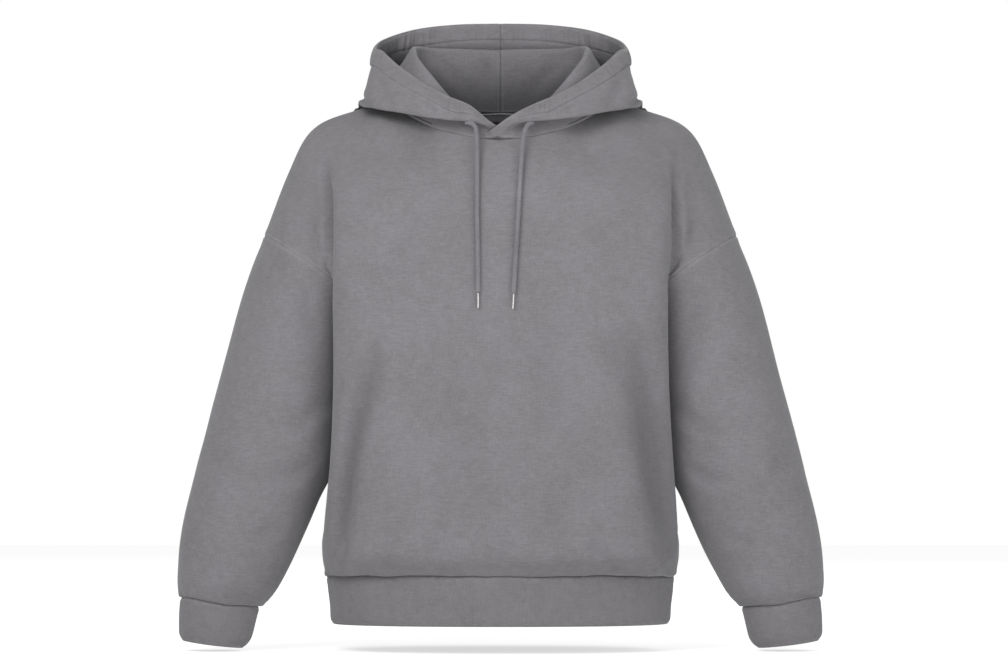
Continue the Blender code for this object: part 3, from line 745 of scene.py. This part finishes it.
print("hoodie: ribbed bands")
hemPlaces = steps(4, 5, (0.04, 0.1), (0.3,))
hemRows = wavySeam(hemGrid(evenAround(hemGrid, rib["hemGirth"]), hemPlaces), 0)
hemPiece = bandPiece("hem", hemRows, 5)
cuffPlaces = steps(4, 4, (0.05, 0.12), (0.3,))
cuffAngles = evenAround(cuffGrid, rib["cuffGirth"])
leftCuff = wavySeam(cuffGrid(cuffAngles, cuffPlaces)[:, ::-1], 0)
leftCuffPiece = bandPiece("cuffLeft", leftCuff, 6)
rightCuffPiece = bandPiece("cuffRight", mirrored(leftCuff)[:, ::-1], 7)

# hood: two panels that meet on a centre seam, with a stitched channel round the opening
hood = {
    "thickness": 2.3, "fullLength": 96,
    "channelWidth": 21, "channelSwell": 0.9, "stitchDip": 0.8,
    "puckerPitch": 6.2, "puckerHeight": 2.1, "sideSwell": 1.0, "seamDepth": 0.9,
    "rumpleSize": 60, "rumpleHeight": 1.0, "plain": 10,
    "swellAt": (0.52, 0.17), "tightAt": (0.67, 0.15),  # places and widths as shares of the rim, from the front
    "fullShadeFold": 5, "fullShadePucker": 1.1,  # the depths at which the painted shade is darkest
    "columnSteps": 20, "outerRows": 20, "foldRows": 18, "standRows": 18, "pathSteps": 121,
}
# route, width, depth and ridge. A route point is a section's number, from the front corner to the centre back, and
# a place up it: 0 neck seam, 1 ridge, 2 fall, 3 bottom, 4 rise, 5 channel, 6 rim
hoodCreases = (
    (((5.6, 3.3), (6.3, 3.42), (7.0, 3.5), (7.7, 3.45), (8.4, 3.3)), 4.2, 5.5, 0.4),
    (((7.9, 4.9), (8.5, 4.3), (9.0, 3.5)), 10, 2.6, 0.4),
    (((9.2, 4.8), (9.7, 4.0), (10.1, 3.4)), 12, 2.4, -0.4),
    (((10.5, 4.5), (10.6, 3.9), (10.4, 3.3)), 12, 2.0, 0.4),
    (((3.6, 5.0), (3.7, 4.2), (3.5, 3.4)), 6, 1.4, 0.4),
    (((5.4, 4.9), (5.2, 4.1), (4.8, 3.4)), 8, 1.5, -0.4),
    (((8.8, 0.8), (9.4, 0.6), (9.9, 0.4), (10.4, 0.2)), 9, -2.6, 0.5),
    (((7.6, 0.8), (8.3, 0.55), (9.0, 0.3)), 8, -2.4, 0.4),
    (((10.4, 0.8), (10.7, 0.5)), 9, 1.4, 0.3),
)


def squeezed(length):
    # near the front corner the hood is shallow, and its channel and rows shrink with it
    return np.minimum(1, length / hood["fullLength"])


def hoodPlaces(length, lip, ridge):
    # rows measured down from the rim: close together over the channel, the lip, the ridge and at the neck seam
    squeeze = squeezed(length)
    fine = np.array([0, 1.2, 2.6, 5, 8, 11, 14, 16.5, 18.3, 19.4, 20.3, 21, 21.7, 22.6, 23.8, 26]) * squeeze
    atLip = lip + np.array([-3.6, -1.8, 0, 1.8, 3.6]) * squeeze
    atRidge = ridge + np.array([-8, -5.5, -3.5, -1.7, 0, 1.7, 3.5, 5.5, 8]) * squeeze
    low = length - np.array([6, 4.2, 2.8, 1.6, 0.7, 0]) * squeeze
    outside = np.linspace(fine[-1], atLip[0], hood["outerRows"] + 2)[1:-1]
    over = np.linspace(atLip[-1], atRidge[0], hood["foldRows"] + 2)[1:-1]
    under = np.linspace(atRidge[-1], low[0], hood["standRows"] + 2)[1:-1]
    return np.concatenate([fine, outside, atLip, over, atRidge, under, low])


def settled(sections, tip):
    # the hood's own weight settles it a little: the lip at the front sinks, and the ridge leans in and back
    sections = sections.copy()
    sections[:2, 1:] += np.linspace(0, 1, 6)[:, None] * tip
    sections[2:6, 1:, 2] -= 3.5
    sections[6, 1:, 2] -= 1.5
    sections[7, 1, 2] -= 2.0
    leans = ((-2, 0), (-4, 0), (-7, 1), (-9, 4), (-8, 9), (-4, 11), (-2, 12), (0, 12))
    for row, lean in enumerate(leans, 4):
        sections[row, 1, :2] += lean
        sections[row, 2, :2] += np.array(lean) * 0.5
    return sections


def hoodGrid(sections):
    roundNeck = steps(len(sections) - 1, hood["columnSteps"], (0.05, 0.12), (0.03, 0.08, 0.14))
    columns = curveAt(sections, roundNeck)
    params = np.linspace(0, 6, 240)[::-1]
    made = []
    for column in columns:
        path = curveAt(column, params)
        way = runs(path[None], 1)[0]
        places = hoodPlaces(way[-1], *np.interp((-3, -1), -params, way))
        made.append([[np.interp(place, way, path[:, axis]) for axis in range(3)] for place in places])
    grid = np.array(made).transpose(1, 0, 2)
    # the sewn edge reaches just into the body's, so that the seam is closed
    edge = grid[-1] - grid[-2]
    grid[-1] += edge / np.maximum(np.linalg.norm(edge, axis=1), 1e-9)[:, None] * 0.8
    return grid


def hoodFolds(grid, normals, down, sections, flip):
    # as creased, but the hood lies in layers, so a crease reaches only points of about its own depth below the rim
    moved = np.zeros(grid.shape[:2])
    points, facing, depths = grid.reshape(-1, 3), normals.reshape(-1, 3), down.ravel()
    up = np.linspace(0, 6, hood["pathSteps"])
    for route, width, depth, ridge in hoodCreases:
        places = curveAt(np.array(route, float), np.linspace(0, len(route) - 1, 26))
        line, below = [], []
        for section, place in places:
            path = curveAt(curveAt(sections, np.array([section]))[0], up)
            way = runs(path[None], 1)[0]
            line.append([np.interp(place, up, path[:, axis]) for axis in range(3)])
            below.append(way[-1] - np.interp(place, up, way))
        line, below = np.array(line) * (flip, 1, 1), np.array(below)
        gaps = points[:, None, :] - line[None, :, :]
        reach = 3 * width + 6
        distance = np.linalg.norm(gaps, axis=2) + 9.0 * (np.abs(depths[:, None] - below[None, :]) > reach)
        push, closest = troughAt(line, gaps, distance, facing, width, depth, ridge, flip)
        fade = np.sin(np.pi * (closest + 0.5) / len(line)) ** 0.7
        layer = np.abs(depths - below[closest]) < reach
        moved += (push * fade * layer).reshape(grid.shape[:2])
    return moved


def hoodPiece(name, grid, normals, left, sections, seed):
    # one half of the hood: its channel stands proud of a stitched dip and is puckered by the cord in it
    far = fromEdges(grid, False)
    seam, front = (far["end"], far["start"]) if left else (far["start"], far["end"])
    down = far["top"]
    squeeze = squeezed(down[-1:])
    band = hood["channelWidth"] * squeeze
    spread = clothSpread(grid, False, grid.shape[1] - 1 if left else 0)
    # gathers run across the channel, so they are counted along the rim
    along = np.repeat(runs(grid[:1], 1), grid.shape[0], axis=0)
    fromFront = along if left else along[:, -1:] - along
    swellPlace, tightPlace = fromFront.max() * np.array([hood["swellAt"], hood["tightAt"]])
    side, tight = bell(fromFront, *swellPlace), bell(fromFront, *tightPlace)
    fullness = (hood["channelSwell"] + hood["sideSwell"] * side) * squeeze
    swell = fullness * (1 - ease((down - band + 2.5) / 4)) * ease(down / 5 + 0.2)
    stitched = -hood["stitchDip"] * bell(down, band, 0.9) * squeeze
    puckers = hood["puckerHeight"] * bell(down, band * 0.62, band * 0.42) * (0.25 + tight)
    puckers = puckers * gathers(along, hood["puckerPitch"], seed)
    keep = 1
    for distance in (far["bottom"], seam, front, down - band):
        keep = keep * ease(distance / hood["plain"])
    folds = keep * hoodFolds(grid, normals, down, sections, 1 if left else -1)
    puckers = puckers * ease(seam / 5) * ease(front / 5)
    # painted shade: darker in troughs and in the valleys of the puckers, and along the seams' grooves as dark as in a
    # trough
    sewn = 0.6 * bell(down, band, 1.1) + 1.1 * bell(seam, 0.4, 1.0)
    troughShade = np.clip(np.clip(-folds / hood["fullShadeFold"] - puckers / hood["fullShadePucker"], 0, 1) + sewn, 0, 1)
    shared = folds + puckers + keep * rumple(grid, hood["rumpleSize"], hood["rumpleHeight"], seed)
    shared = shared - hood["seamDepth"] * bell(seam, 0, 1.3) - hood["seamDepth"] * bell(far["bottom"], 0, 1.5)
    twin = -0.35 * bell(seam, 3.2, 0.8)
    outer = grid + normals * (shared + swell + stitched + twin)[:, :, None]
    sink = hood["thickness"] + swell + stitched * 0.9 + (twin - 1.7 * bell(seam, 0, 1.3)) * 0.8
    inner = grid + normals * (shared - sink)[:, :, None]
    rolled = ("top", "start") if left else ("top", "end")
    worn = wornEdge(down, np.abs(down - band) + 1.6, far["bottom"], seam)
    # painted shade on the inner face: deepest down by the neck, and none over the ridge and the channel, which are as
    # pale as the outside
    inside = 1 - ease((far["bottom"] - 6) / 62)
    piece = shell(name, outer, inner, spread, False, worn, rolled, inside, troughShade)
    return piece, outer, inner


print("hoodie: hood and neck tape")
overSections = settled(np.array([*lapOver, *hoodSections], float), (3, 0, -3))
underSections = settled(np.array([*lapUnder, *hoodSections], float), (0, 0, -2.5))
leftHood = hoodGrid(overSections)
rightHood = mirrored(hoodGrid(underSections))[:, ::-1]
leftHoodNormals, rightHoodNormals = sewnNormals([(leftHood, False), (rightHood, False)])
leftMade = hoodPiece("hoodLeft", leftHood, leftHoodNormals, True, overSections, 8)
rightMade = hoodPiece("hoodRight", rightHood, rightHoodNormals, False, underSections, 9)
leftHoodPiece, leftHoodOuter, leftHoodInner = leftMade
rightHoodPiece, rightHoodOuter, rightHoodInner = rightMade

# tape over the back neck seam, on the inside
tape = {"thickness": 1.0, "gap": 0.5, "rows": (0.3, 3, 6, 9, 11.5), "stitchRows": (1.6, 9.8)}
neckColumns = np.where((columnPlaces > 4.5) & (columnPlaces < 7.5))[0]
backInner = backOuter - backNormals * (body["thickness"] + tape["gap"])
tapeOuter = np.array([outline(backInner, backNormals, row, "top", 0)[neckColumns] for row in tape["rows"]])
tapeNormals = normalsOf(tapeOuter, False)
tapeFar = fromEdges(tapeOuter, False)
tapeInner = tapeOuter - tapeNormals * tape["thickness"]
tapeWorn = wornEdge(tapeFar["top"], tapeFar["bottom"])
tapeSpread = clothSpread(tapeOuter, False)
tapePiece = shell("neckTape", tapeOuter, tapeInner, tapeSpread, False, tapeWorn, rounded=("top", "bottom"))

# topstitching, made by one geometry tree
stitch = {"pitch": 3.1, "length": 2.3, "width": 0.55, "lift": 0.12, "besideSeam": 3.2}


def addNode(tree, kind, settings=None, inputs=None):
    # a node with its settings, and its inputs set to a value or linked to another node's output
    node = tree.nodes.new(kind)
    for name, value in (settings or {}).items():
        setattr(node, name, value)
    for name, value in (inputs or {}).items():
        socket = node.inputs[name]
        if isinstance(value, bpy.types.NodeSocket):
            tree.links.new(value, socket)
        else:
            socket.default_value = value
    return node


def newTree(name, sockets):
    # an empty geometry tree with its inputs and its output
    tree = bpy.data.node_groups.new(name, "GeometryNodeTree")
    tree.interface.new_socket("Geometry", in_out="INPUT", socket_type="NodeSocketGeometry")
    for label, kind in sockets:
        tree.interface.new_socket(label, in_out="INPUT", socket_type=kind)
    tree.interface.new_socket("Geometry", in_out="OUTPUT", socket_type="NodeSocketGeometry")
    return tree


def endTree(tree, geometry, material):
    # made real and painted, as the export drops instances
    real = addNode(tree, "GeometryNodeRealizeInstances", None, {"Geometry": geometry})
    painted = addNode(tree, "GeometryNodeSetMaterial", None, {"Geometry": real.outputs[0], "Material": material})
    addNode(tree, "NodeGroupOutput", None, {"Geometry": painted.outputs[0]})


def stitchTree():
    # one plump stitch after another along each line
    tree = newTree("stitchRow", (("Pitch", "NodeSocketFloat"), ("Length", "NodeSocketFloat"),
                                 ("Width", "NodeSocketFloat"), ("Material", "NodeSocketMaterial")))
    given = addNode(tree, "NodeGroupInput").outputs
    curve = addNode(tree, "GeometryNodeMeshToCurve", None, {"Mesh": given["Geometry"]})
    even = addNode(tree, "GeometryNodeResampleCurve", {"mode": "LENGTH"},
                   {"Curve": curve.outputs[0], "Length": given["Pitch"]})
    way = addNode(tree, "GeometryNodeInputTangent")
    turn = addNode(tree, "FunctionNodeAlignRotationToVector", {"axis": "Z"}, {"Vector": way.outputs[0]})
    thread = addNode(tree, "GeometryNodeMeshUVSphere", None, {"Radius": 0.5, "Segments": 8, "Rings": 4})
    size = addNode(tree, "ShaderNodeCombineXYZ", None,
                   {"X": given["Width"], "Y": given["Width"], "Z": given["Length"]})
    sewn = addNode(tree, "GeometryNodeInstanceOnPoints", None,
                   {"Points": even.outputs[0], "Instance": thread.outputs["Mesh"],
                    "Rotation": turn.outputs[0], "Scale": size.outputs[0]})
    endTree(tree, sewn.outputs[0], given["Material"])
    return tree


def ribTree():
    # each rib stands out from the cloth along its own normal
    tree = newTree("ribKnit", (("Depth", "NodeSocketFloat"), ("Material", "NodeSocketMaterial")))
    given = addNode(tree, "NodeGroupInput").outputs
    phase = addNode(tree, "GeometryNodeInputNamedAttribute", {"data_type": "FLOAT"}, {"Name": "ribPhase"})
    angle = addNode(tree, "ShaderNodeMath", {"operation": "MULTIPLY"}, {0: phase.outputs[0], 1: 2 * math.pi})
    wave = addNode(tree, "ShaderNodeMath", {"operation": "COSINE"}, {0: angle.outputs[0]})
    height = addNode(tree, "ShaderNodeMath", {"operation": "MULTIPLY"},
                     {0: wave.outputs[0], 1: given["Depth"]})
    normal = addNode(tree, "GeometryNodeInputNormal")
    push = addNode(tree, "ShaderNodeVectorMath", {"operation": "SCALE"},
                   {0: normal.outputs[0], "Scale": height.outputs[0]})
    moved = addNode(tree, "GeometryNodeSetPosition", None,
                    {"Geometry": given["Geometry"], "Offset": push.outputs[0]})
    endTree(tree, moved.outputs[0], given["Material"])
    return tree


def madeBy(piece, tree, values):
    # runs the tree on the piece, takes the result as a plain mesh, and removes the modifier
    modifier = piece.modifiers.new(tree.name, "NODES")
    modifier.node_group = tree
    for item in tree.interface.items_tree:
        if item.item_type == "SOCKET" and item.in_out == "INPUT" and item.name in values:
            modifier[item.identifier] = values[item.name]
    graph = bpy.context.evaluated_depsgraph_get()
    mesh = bpy.data.meshes.new_from_object(piece.evaluated_get(graph), depsgraph=graph)
    piece.modifiers.clear()
    old = piece.data
    piece.data = mesh
    bpy.data.meshes.remove(old)
    mesh.name = piece.name
    mesh.shade_smooth()
    return piece


def stitchLines(name, lines):
    # one piece of stitches along every line given
    points, edges = [], []
    for line in lines:
        start = len(points)
        points += (np.asarray(line) * mm).tolist()
        edges += [(start + k, start + k + 1) for k in range(len(line) - 1)]
    mesh = bpy.data.meshes.new(name)
    mesh.from_pydata(points, edges, [])
    return madeBy(placed(name, mesh), sewing, {
        "Pitch": stitch["pitch"] * mm, "Length": stitch["length"] * mm, "Width": stitch["width"] * mm,
        "Material": threadFinish,
    })


def linear(code):
    # an sRGB hex colour as linear red, green and blue
    values = [int(code[k : k + 2], 16) / 255 for k in (1, 3, 5)]
    return tuple(v / 12.92 if v <= 0.04045 else ((v + 0.055) / 1.055) ** 2.4 for v in values) + (1,)


def newMaterial(name, roughness):
    material = bpy.data.materials.new(name)
    material.use_nodes = True
    tree = material.node_tree
    shader = tree.nodes["Principled BSDF"]
    shader.inputs["Roughness"].default_value = roughness
    return material, tree, shader


print("hoodie: materials")
# brushed-back cotton jersey, called fleece: garment dyed with pigment and washed, so its matt face is cloudy and paler
# where an edge has rubbed. Painted shade darkens it in troughs and seam grooves and on its inner faces
fleece = {
    # the last colour is that of the painted shade
    "colour": "#807e82", "pale": "#908e91", "deep": "#777578", "inside": "#38373a",
    "cloudSize": 60, "grainPitch": 1.7,
    "patches": 95, "rubs": 90, "specks": 620, "fuzz": 900,  # counted in a metre, so 10.5, 11, 1.6 and 1.1 mm apart
    # how strong the rubbed paleness and the two painted shades are
    "wear": 0.85, "troughShadeTone": 0.32, "insideTone": 0.7,
    "roughness": 0.93, "sheen": 0.25, "bump": 0.35, "bumpHeight": 0.6,
}


def clothMaterial(name, settings):
    material, tree, shader = newMaterial(name, settings["roughness"])
    place = addNode(tree, "ShaderNodeTexCoord").outputs["Object"]
    # the knit's own grain, level on body and sleeves: columns of loops and the courses across them. It is drawn
    # coarser than the real loops, so that it shows
    grain = 1000 / settings["grainPitch"]
    stretched = []
    for stretch in ((grain, grain, grain * 0.22), (grain * 0.18, grain * 0.18, grain * 0.9)):
        stretched.append(addNode(tree, "ShaderNodeVectorMath", {"operation": "MULTIPLY"}, {0: place, 1: stretch}))
    # each noise: its place, scale, detail and roughness
    noises = {}
    for label, vector, scale, detail, roughness in (
        ("cloud", place, 1000 / settings["cloudSize"], 4.0, 0.6),
        ("patch", place, settings["patches"], 2.0, 0.5),
        ("speck", place, settings["specks"], 3.0, 0.7),
        ("rubbed", place, settings["rubs"], 3.0, 0.55),
        ("columns", stretched[0].outputs[0], 1.0, 2.0, 0.5),
        ("courses", stretched[1].outputs[0], 1.0, 2.0, 0.5),
        ("fuzz", place, settings["fuzz"], 4.0, 0.75),
    ):
        noises[label] = addNode(tree, "ShaderNodeTexNoise", None, {
            "Vector": vector, "Scale": scale, "Detail": detail, "Roughness": roughness,
        }).outputs[0]
    marks = {}
    for label in ("worn", "troughShade", "inside"):
        marks[label] = addNode(tree, "ShaderNodeAttribute", {"attribute_name": label}).outputs["Fac"]
    rubbed = addNode(tree, "ShaderNodeMapRange", None,
                     {"Value": noises["rubbed"], 1: 0.3, 2: 0.62, 3: 0.1, 4: settings["wear"]})
    patchy = addNode(tree, "ShaderNodeMath", {"operation": "MULTIPLY"}, {0: marks["worn"], 1: rubbed.outputs[0]})
    # layers of colour over the deep one: what guides each, the range it is read over, its strength and its colour
    base = linear(settings["deep"])
    for guide, low, high, most, colour in (
        (noises["cloud"], 0.3, 0.7, 1, "colour"),
        (noises["patch"], 0.35, 0.75, 0.25, "pale"),
        (noises["speck"], 0.4, 0.7, 0.42, "pale"),
        (patchy.outputs[0], 0, 1, 1, "pale"),
        # painted shade in troughs, puckers and seam grooves
        (marks["troughShade"], 0, 1, settings["troughShadeTone"], "inside"),
        # painted shade on the inner faces, deepest down inside the hood
        (marks["inside"], 0, 1, settings["insideTone"], "inside"),
    ):
        share = addNode(tree, "ShaderNodeMapRange", None, {"Value": guide, 1: low, 2: high, 3: 0, 4: most})
        base = addNode(tree, "ShaderNodeMix", {"data_type": "RGBA"},
                       {0: share.outputs[0], 6: base, 7: linear(settings[colour])}).outputs[2]
    loops = addNode(tree, "ShaderNodeMath", {"operation": "MULTIPLY_ADD"},
                    {0: noises["columns"], 1: 0.6, 2: noises["courses"]}).outputs[0]
    tint = addNode(tree, "ShaderNodeMapRange", None, {"Value": loops, 1: 0.55, 2: 1.05, 3: 0.91, 4: 1.08}).outputs[0]
    shade = addNode(tree, "ShaderNodeCombineColor", None, {0: tint, 1: tint, 2: tint}).outputs[0]
    grained = addNode(tree, "ShaderNodeMix", {"data_type": "RGBA", "blend_type": "MULTIPLY"},
                      {0: 1.0, 6: base, 7: shade})
    tree.links.new(grained.outputs[2], shader.inputs["Base Color"])
    height = addNode(tree, "ShaderNodeMath", {"operation": "MULTIPLY_ADD"},
                     {0: loops, 1: 0.6, 2: noises["fuzz"]}).outputs[0]
    bump = addNode(tree, "ShaderNodeBump", None, {
        "Strength": settings["bump"], "Distance": settings["bumpHeight"] * mm, "Height": height,
    })
    tree.links.new(bump.outputs[0], shader.inputs["Normal"])
    shader.inputs["Sheen Weight"].default_value = settings["sheen"]
    shader.inputs["Sheen Roughness"].default_value = 0.5
    shader.inputs["Specular IOR Level"].default_value = 0.2
    return material


fleeceFinish = clothMaterial("cottonFleece", fleece)
# cotton and elastane rib, knitted as fine columns and folded double: matt, a shade deeper than the fleece
ribTones = {"colour": "#7c7a7d", "deep": "#737174", "grainPitch": 1.4, "wear": 0.45}
ribFinish = clothMaterial("cottonRib", fleece | ribTones)
# cotton twill tape, woven tight, so that it took less of the dye: paler and flatter than the fleece
tapeTones = {"colour": "#a6a4a8", "deep": "#999799", "pale": "#b8b6ba", "grainPitch": 0.9}
tapeFinish = clothMaterial("cottonTwill", fleece | tapeTones)
# round cord, braided of cotton: matt, with a shade between its strands
cordTones = {"colour": "#858388", "deep": "#6f6d72", "grainPitch": 0.8, "wear": 0.3}
cordFinish = clothMaterial("braidedCotton", fleece | cordTones)
# spun polyester sewing thread, dyed to match: as matt as the cloth
threadTones = {"colour": "#7c7a7f", "deep": "#6c6a6f", "grainPitch": 0.5}
threadFinish = clothMaterial("sewingThread", fleece | threadTones)

# nickel plated steel tube, crimped and brushed along its length: a soft grey shine with fine scratches
nickel = {"colour": "#c9c8c6", "smooth": 0.24, "rough": 0.42, "scratch": (2600, 2600, 160)}
metalFinish, metalTree, metalShader = newMaterial("nickelSteel", nickel["rough"])
metalShader.inputs["Metallic"].default_value = 1.0
metalShader.inputs["Base Color"].default_value = linear(nickel["colour"])
metalPlace = addNode(metalTree, "ShaderNodeTexCoord").outputs["Object"]
drawn = addNode(metalTree, "ShaderNodeVectorMath", {"operation": "MULTIPLY"}, {0: metalPlace, 1: nickel["scratch"]})
scratches = addNode(metalTree, "ShaderNodeTexNoise", None,
                    {"Vector": drawn.outputs[0], "Scale": 1.0, "Detail": 3.0, "Roughness": 0.55})
shine = addNode(metalTree, "ShaderNodeMapRange", None,
                {"Value": scratches.outputs[0], 1: 0.3, 2: 0.7, 3: nickel["smooth"], 4: nickel["rough"]})
metalTree.links.new(shine.outputs[0], metalShader.inputs["Roughness"])

print("hoodie: ribs and stitches")
sewing = stitchTree()
knit = ribTree()
for piece in (frontPiece, backPiece, leftPiece, rightPiece, leftHoodPiece, rightHoodPiece):
    piece.data.materials.append(fleeceFinish)
tapePiece.data.materials.append(tapeFinish)
for braid, _, tip in cordPieces.values():
    braid.data.materials.append(cordFinish)
    tip.data.materials.append(metalFinish)
for piece in (hemPiece, leftCuffPiece, rightCuffPiece):
    madeBy(piece, knit, {"Depth": rib["depth"] * mm, "Material": ribFinish})

# stitch lines on the hood: the channel's and the one beside the centre seam, on both faces
stitchPieces = []
for label, outer, inner, left in (("Left", leftHoodOuter, leftHoodInner, True),
                                  ("Right", rightHoodOuter, rightHoodInner, False)):
    facing = normalsOf(outer, False)
    widths = hood["channelWidth"] * squeezed(runs(outer, 0)[-1])
    faces = ((outer, stitch["lift"]), (inner, -stitch["lift"]))
    lines = [outline(face, facing, widths, "top", lift) for face, lift in faces]
    seam = "end" if left else "start"
    lines += [outline(face, facing, stitch["besideSeam"], seam, lift)[2:-2] for face, lift in faces]
    stitchPieces.append(stitchLines("hoodStitches" + label, lines))
tapeLift = -tape["thickness"] - 0.1
tapeLines = [outline(tapeOuter, tapeNormals, far, "top", tapeLift)[1:-1] for far in tape["stitchRows"]]
tapeStitches = stitchLines("tapeStitches", tapeLines)

print("hoodie: floor and light")
# a pale floor and soft studio light. Glow and sky are what the camera sees, bounce and ambient what the cloth gets
studio = {"floorHeight": -0.645, "floorReach": 4, "glow": 0.62, "bounce": 0.1, "sky": 1.0, "ambient": 0.38}
corners = [(x * studio["floorReach"], y * studio["floorReach"], studio["floorHeight"])
           for x, y in ((-1, -1), (1, -1), (1, 1), (-1, 1))]
floorMesh = bpy.data.meshes.new("floor")
floorMesh.from_pydata(corners, [], [(0, 1, 2, 3)])
floor = placed("floor", floorMesh)
# plain board painted matt white
floorFinish, floorTree, floorShader = newMaterial("paintedFloor", 0.9)
floorShader.inputs["Base Color"].default_value = linear("#ededed")
floorShader.inputs["Emission Color"].default_value = linear("#ffffff")
toCamera = addNode(floorTree, "ShaderNodeLightPath").outputs["Is Camera Ray"]
glow = addNode(floorTree, "ShaderNodeMapRange", None, {"Value": toCamera, 3: studio["bounce"], 4: studio["glow"]})
floorTree.links.new(glow.outputs[0], floorShader.inputs["Emission Strength"])
floorMesh.materials.append(floorFinish)

world = bpy.data.worlds.new("studio")
bpy.context.scene.world = world
world.use_nodes = True
worldTree = world.node_tree
worldTree.nodes.clear()
seen = addNode(worldTree, "ShaderNodeLightPath").outputs["Is Camera Ray"]
strength = addNode(worldTree, "ShaderNodeMapRange", None, {"Value": seen, 3: studio["ambient"], 4: studio["sky"]})
sky = addNode(worldTree, "ShaderNodeBackground", None,
              {"Color": linear("#ffffff"), "Strength": strength.outputs[0]})
addNode(worldTree, "ShaderNodeOutputWorld", None, {"Surface": sky.outputs[0]})

# each lamp's place, power in watts and size in metres, all turned to the same point
aim = Vector((0, 0, -0.25))
lights = {
    "key": ((-0.95, -1.75, 1.15), 24, 1.2),
    "fill": ((1.4, -1.9, 0.0), 13, 1.6),
    "low": ((0.0, -2.4, -0.5), 11, 1.2),
    "back": ((0.5, 2.4, 1.0), 14, 1.6),
}
for name, (place, power, size) in lights.items():
    data = bpy.data.lights.new(name, "AREA")
    data.energy = power
    data.size = size
    lamp = placed(name, data)
    lamp.location = place
    lamp.rotation_euler = (Vector(place) - aim).to_track_quat("Z", "Y").to_euler()
bpy.context.scene.view_settings.view_transform = "Standard"

# what each piece stands for
standsFor = (
    (frontPiece, "front_panel", "fleece"), (backPiece, "back_panel", "fleece"),
    (leftPiece, "sleeve_left", "fleece"), (rightPiece, "sleeve_right", "fleece"),
    (leftHoodPiece, "hood_left", "fleece"), (rightHoodPiece, "hood_right", "fleece"),
    (hemPiece, "hem_band", "rib"), (leftCuffPiece, "cuff_left", "rib"), (rightCuffPiece, "cuff_right", "rib"),
    (tapePiece, "neck_tape", "tape"),
    (cordPieces["left"][0], "drawcord_left", "cord"), (cordPieces["right"][0], "drawcord_right", "cord"),
    (cordPieces["left"][2], "aglet_left", "metal"), (cordPieces["right"][2], "aglet_right", "metal"),
)
for piece, node, slot in standsFor:
    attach(piece, "root")
    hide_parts(node)
for piece in (*stitchPieces, tapeStitches):
    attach(piece, "root")

for side in ("left", "right"):
    piece, path, tip = cordPieces[side]
    length = runs(path[None], 1)[0, -1] * mm

# each sheet of cloth, the surface its cut is measured on, whether that runs all round, and what is sewn to it
sheets = (
    (frontPiece, frontOuter, False, ()), (backPiece, backOuter, False, ()),
    (leftPiece, leftSleeve, True, ()), (rightPiece, rightSleeve, True, ()),
    (leftHoodPiece, leftHoodOuter, False, (stitchPieces[0],)),
    (rightHoodPiece, rightHoodOuter, False, (stitchPieces[1],)),
    (tapePiece, tapeOuter, False, (tapeStitches,)),
    (hemPiece, hemRows, True, ()), (leftCuffPiece, leftCuff, True, ()), (rightCuffPiece, leftCuff, True, ()),
)
for piece, grid, around, sewn in sheets:
    closed = np.concatenate([grid, grid[:, :1]], axis=1) if around else grid
    size = (float(runs(closed, 1)[:, -1].max() * mm), float(runs(closed, 0)[-1].max() * mm))

print("hoodie: ready")
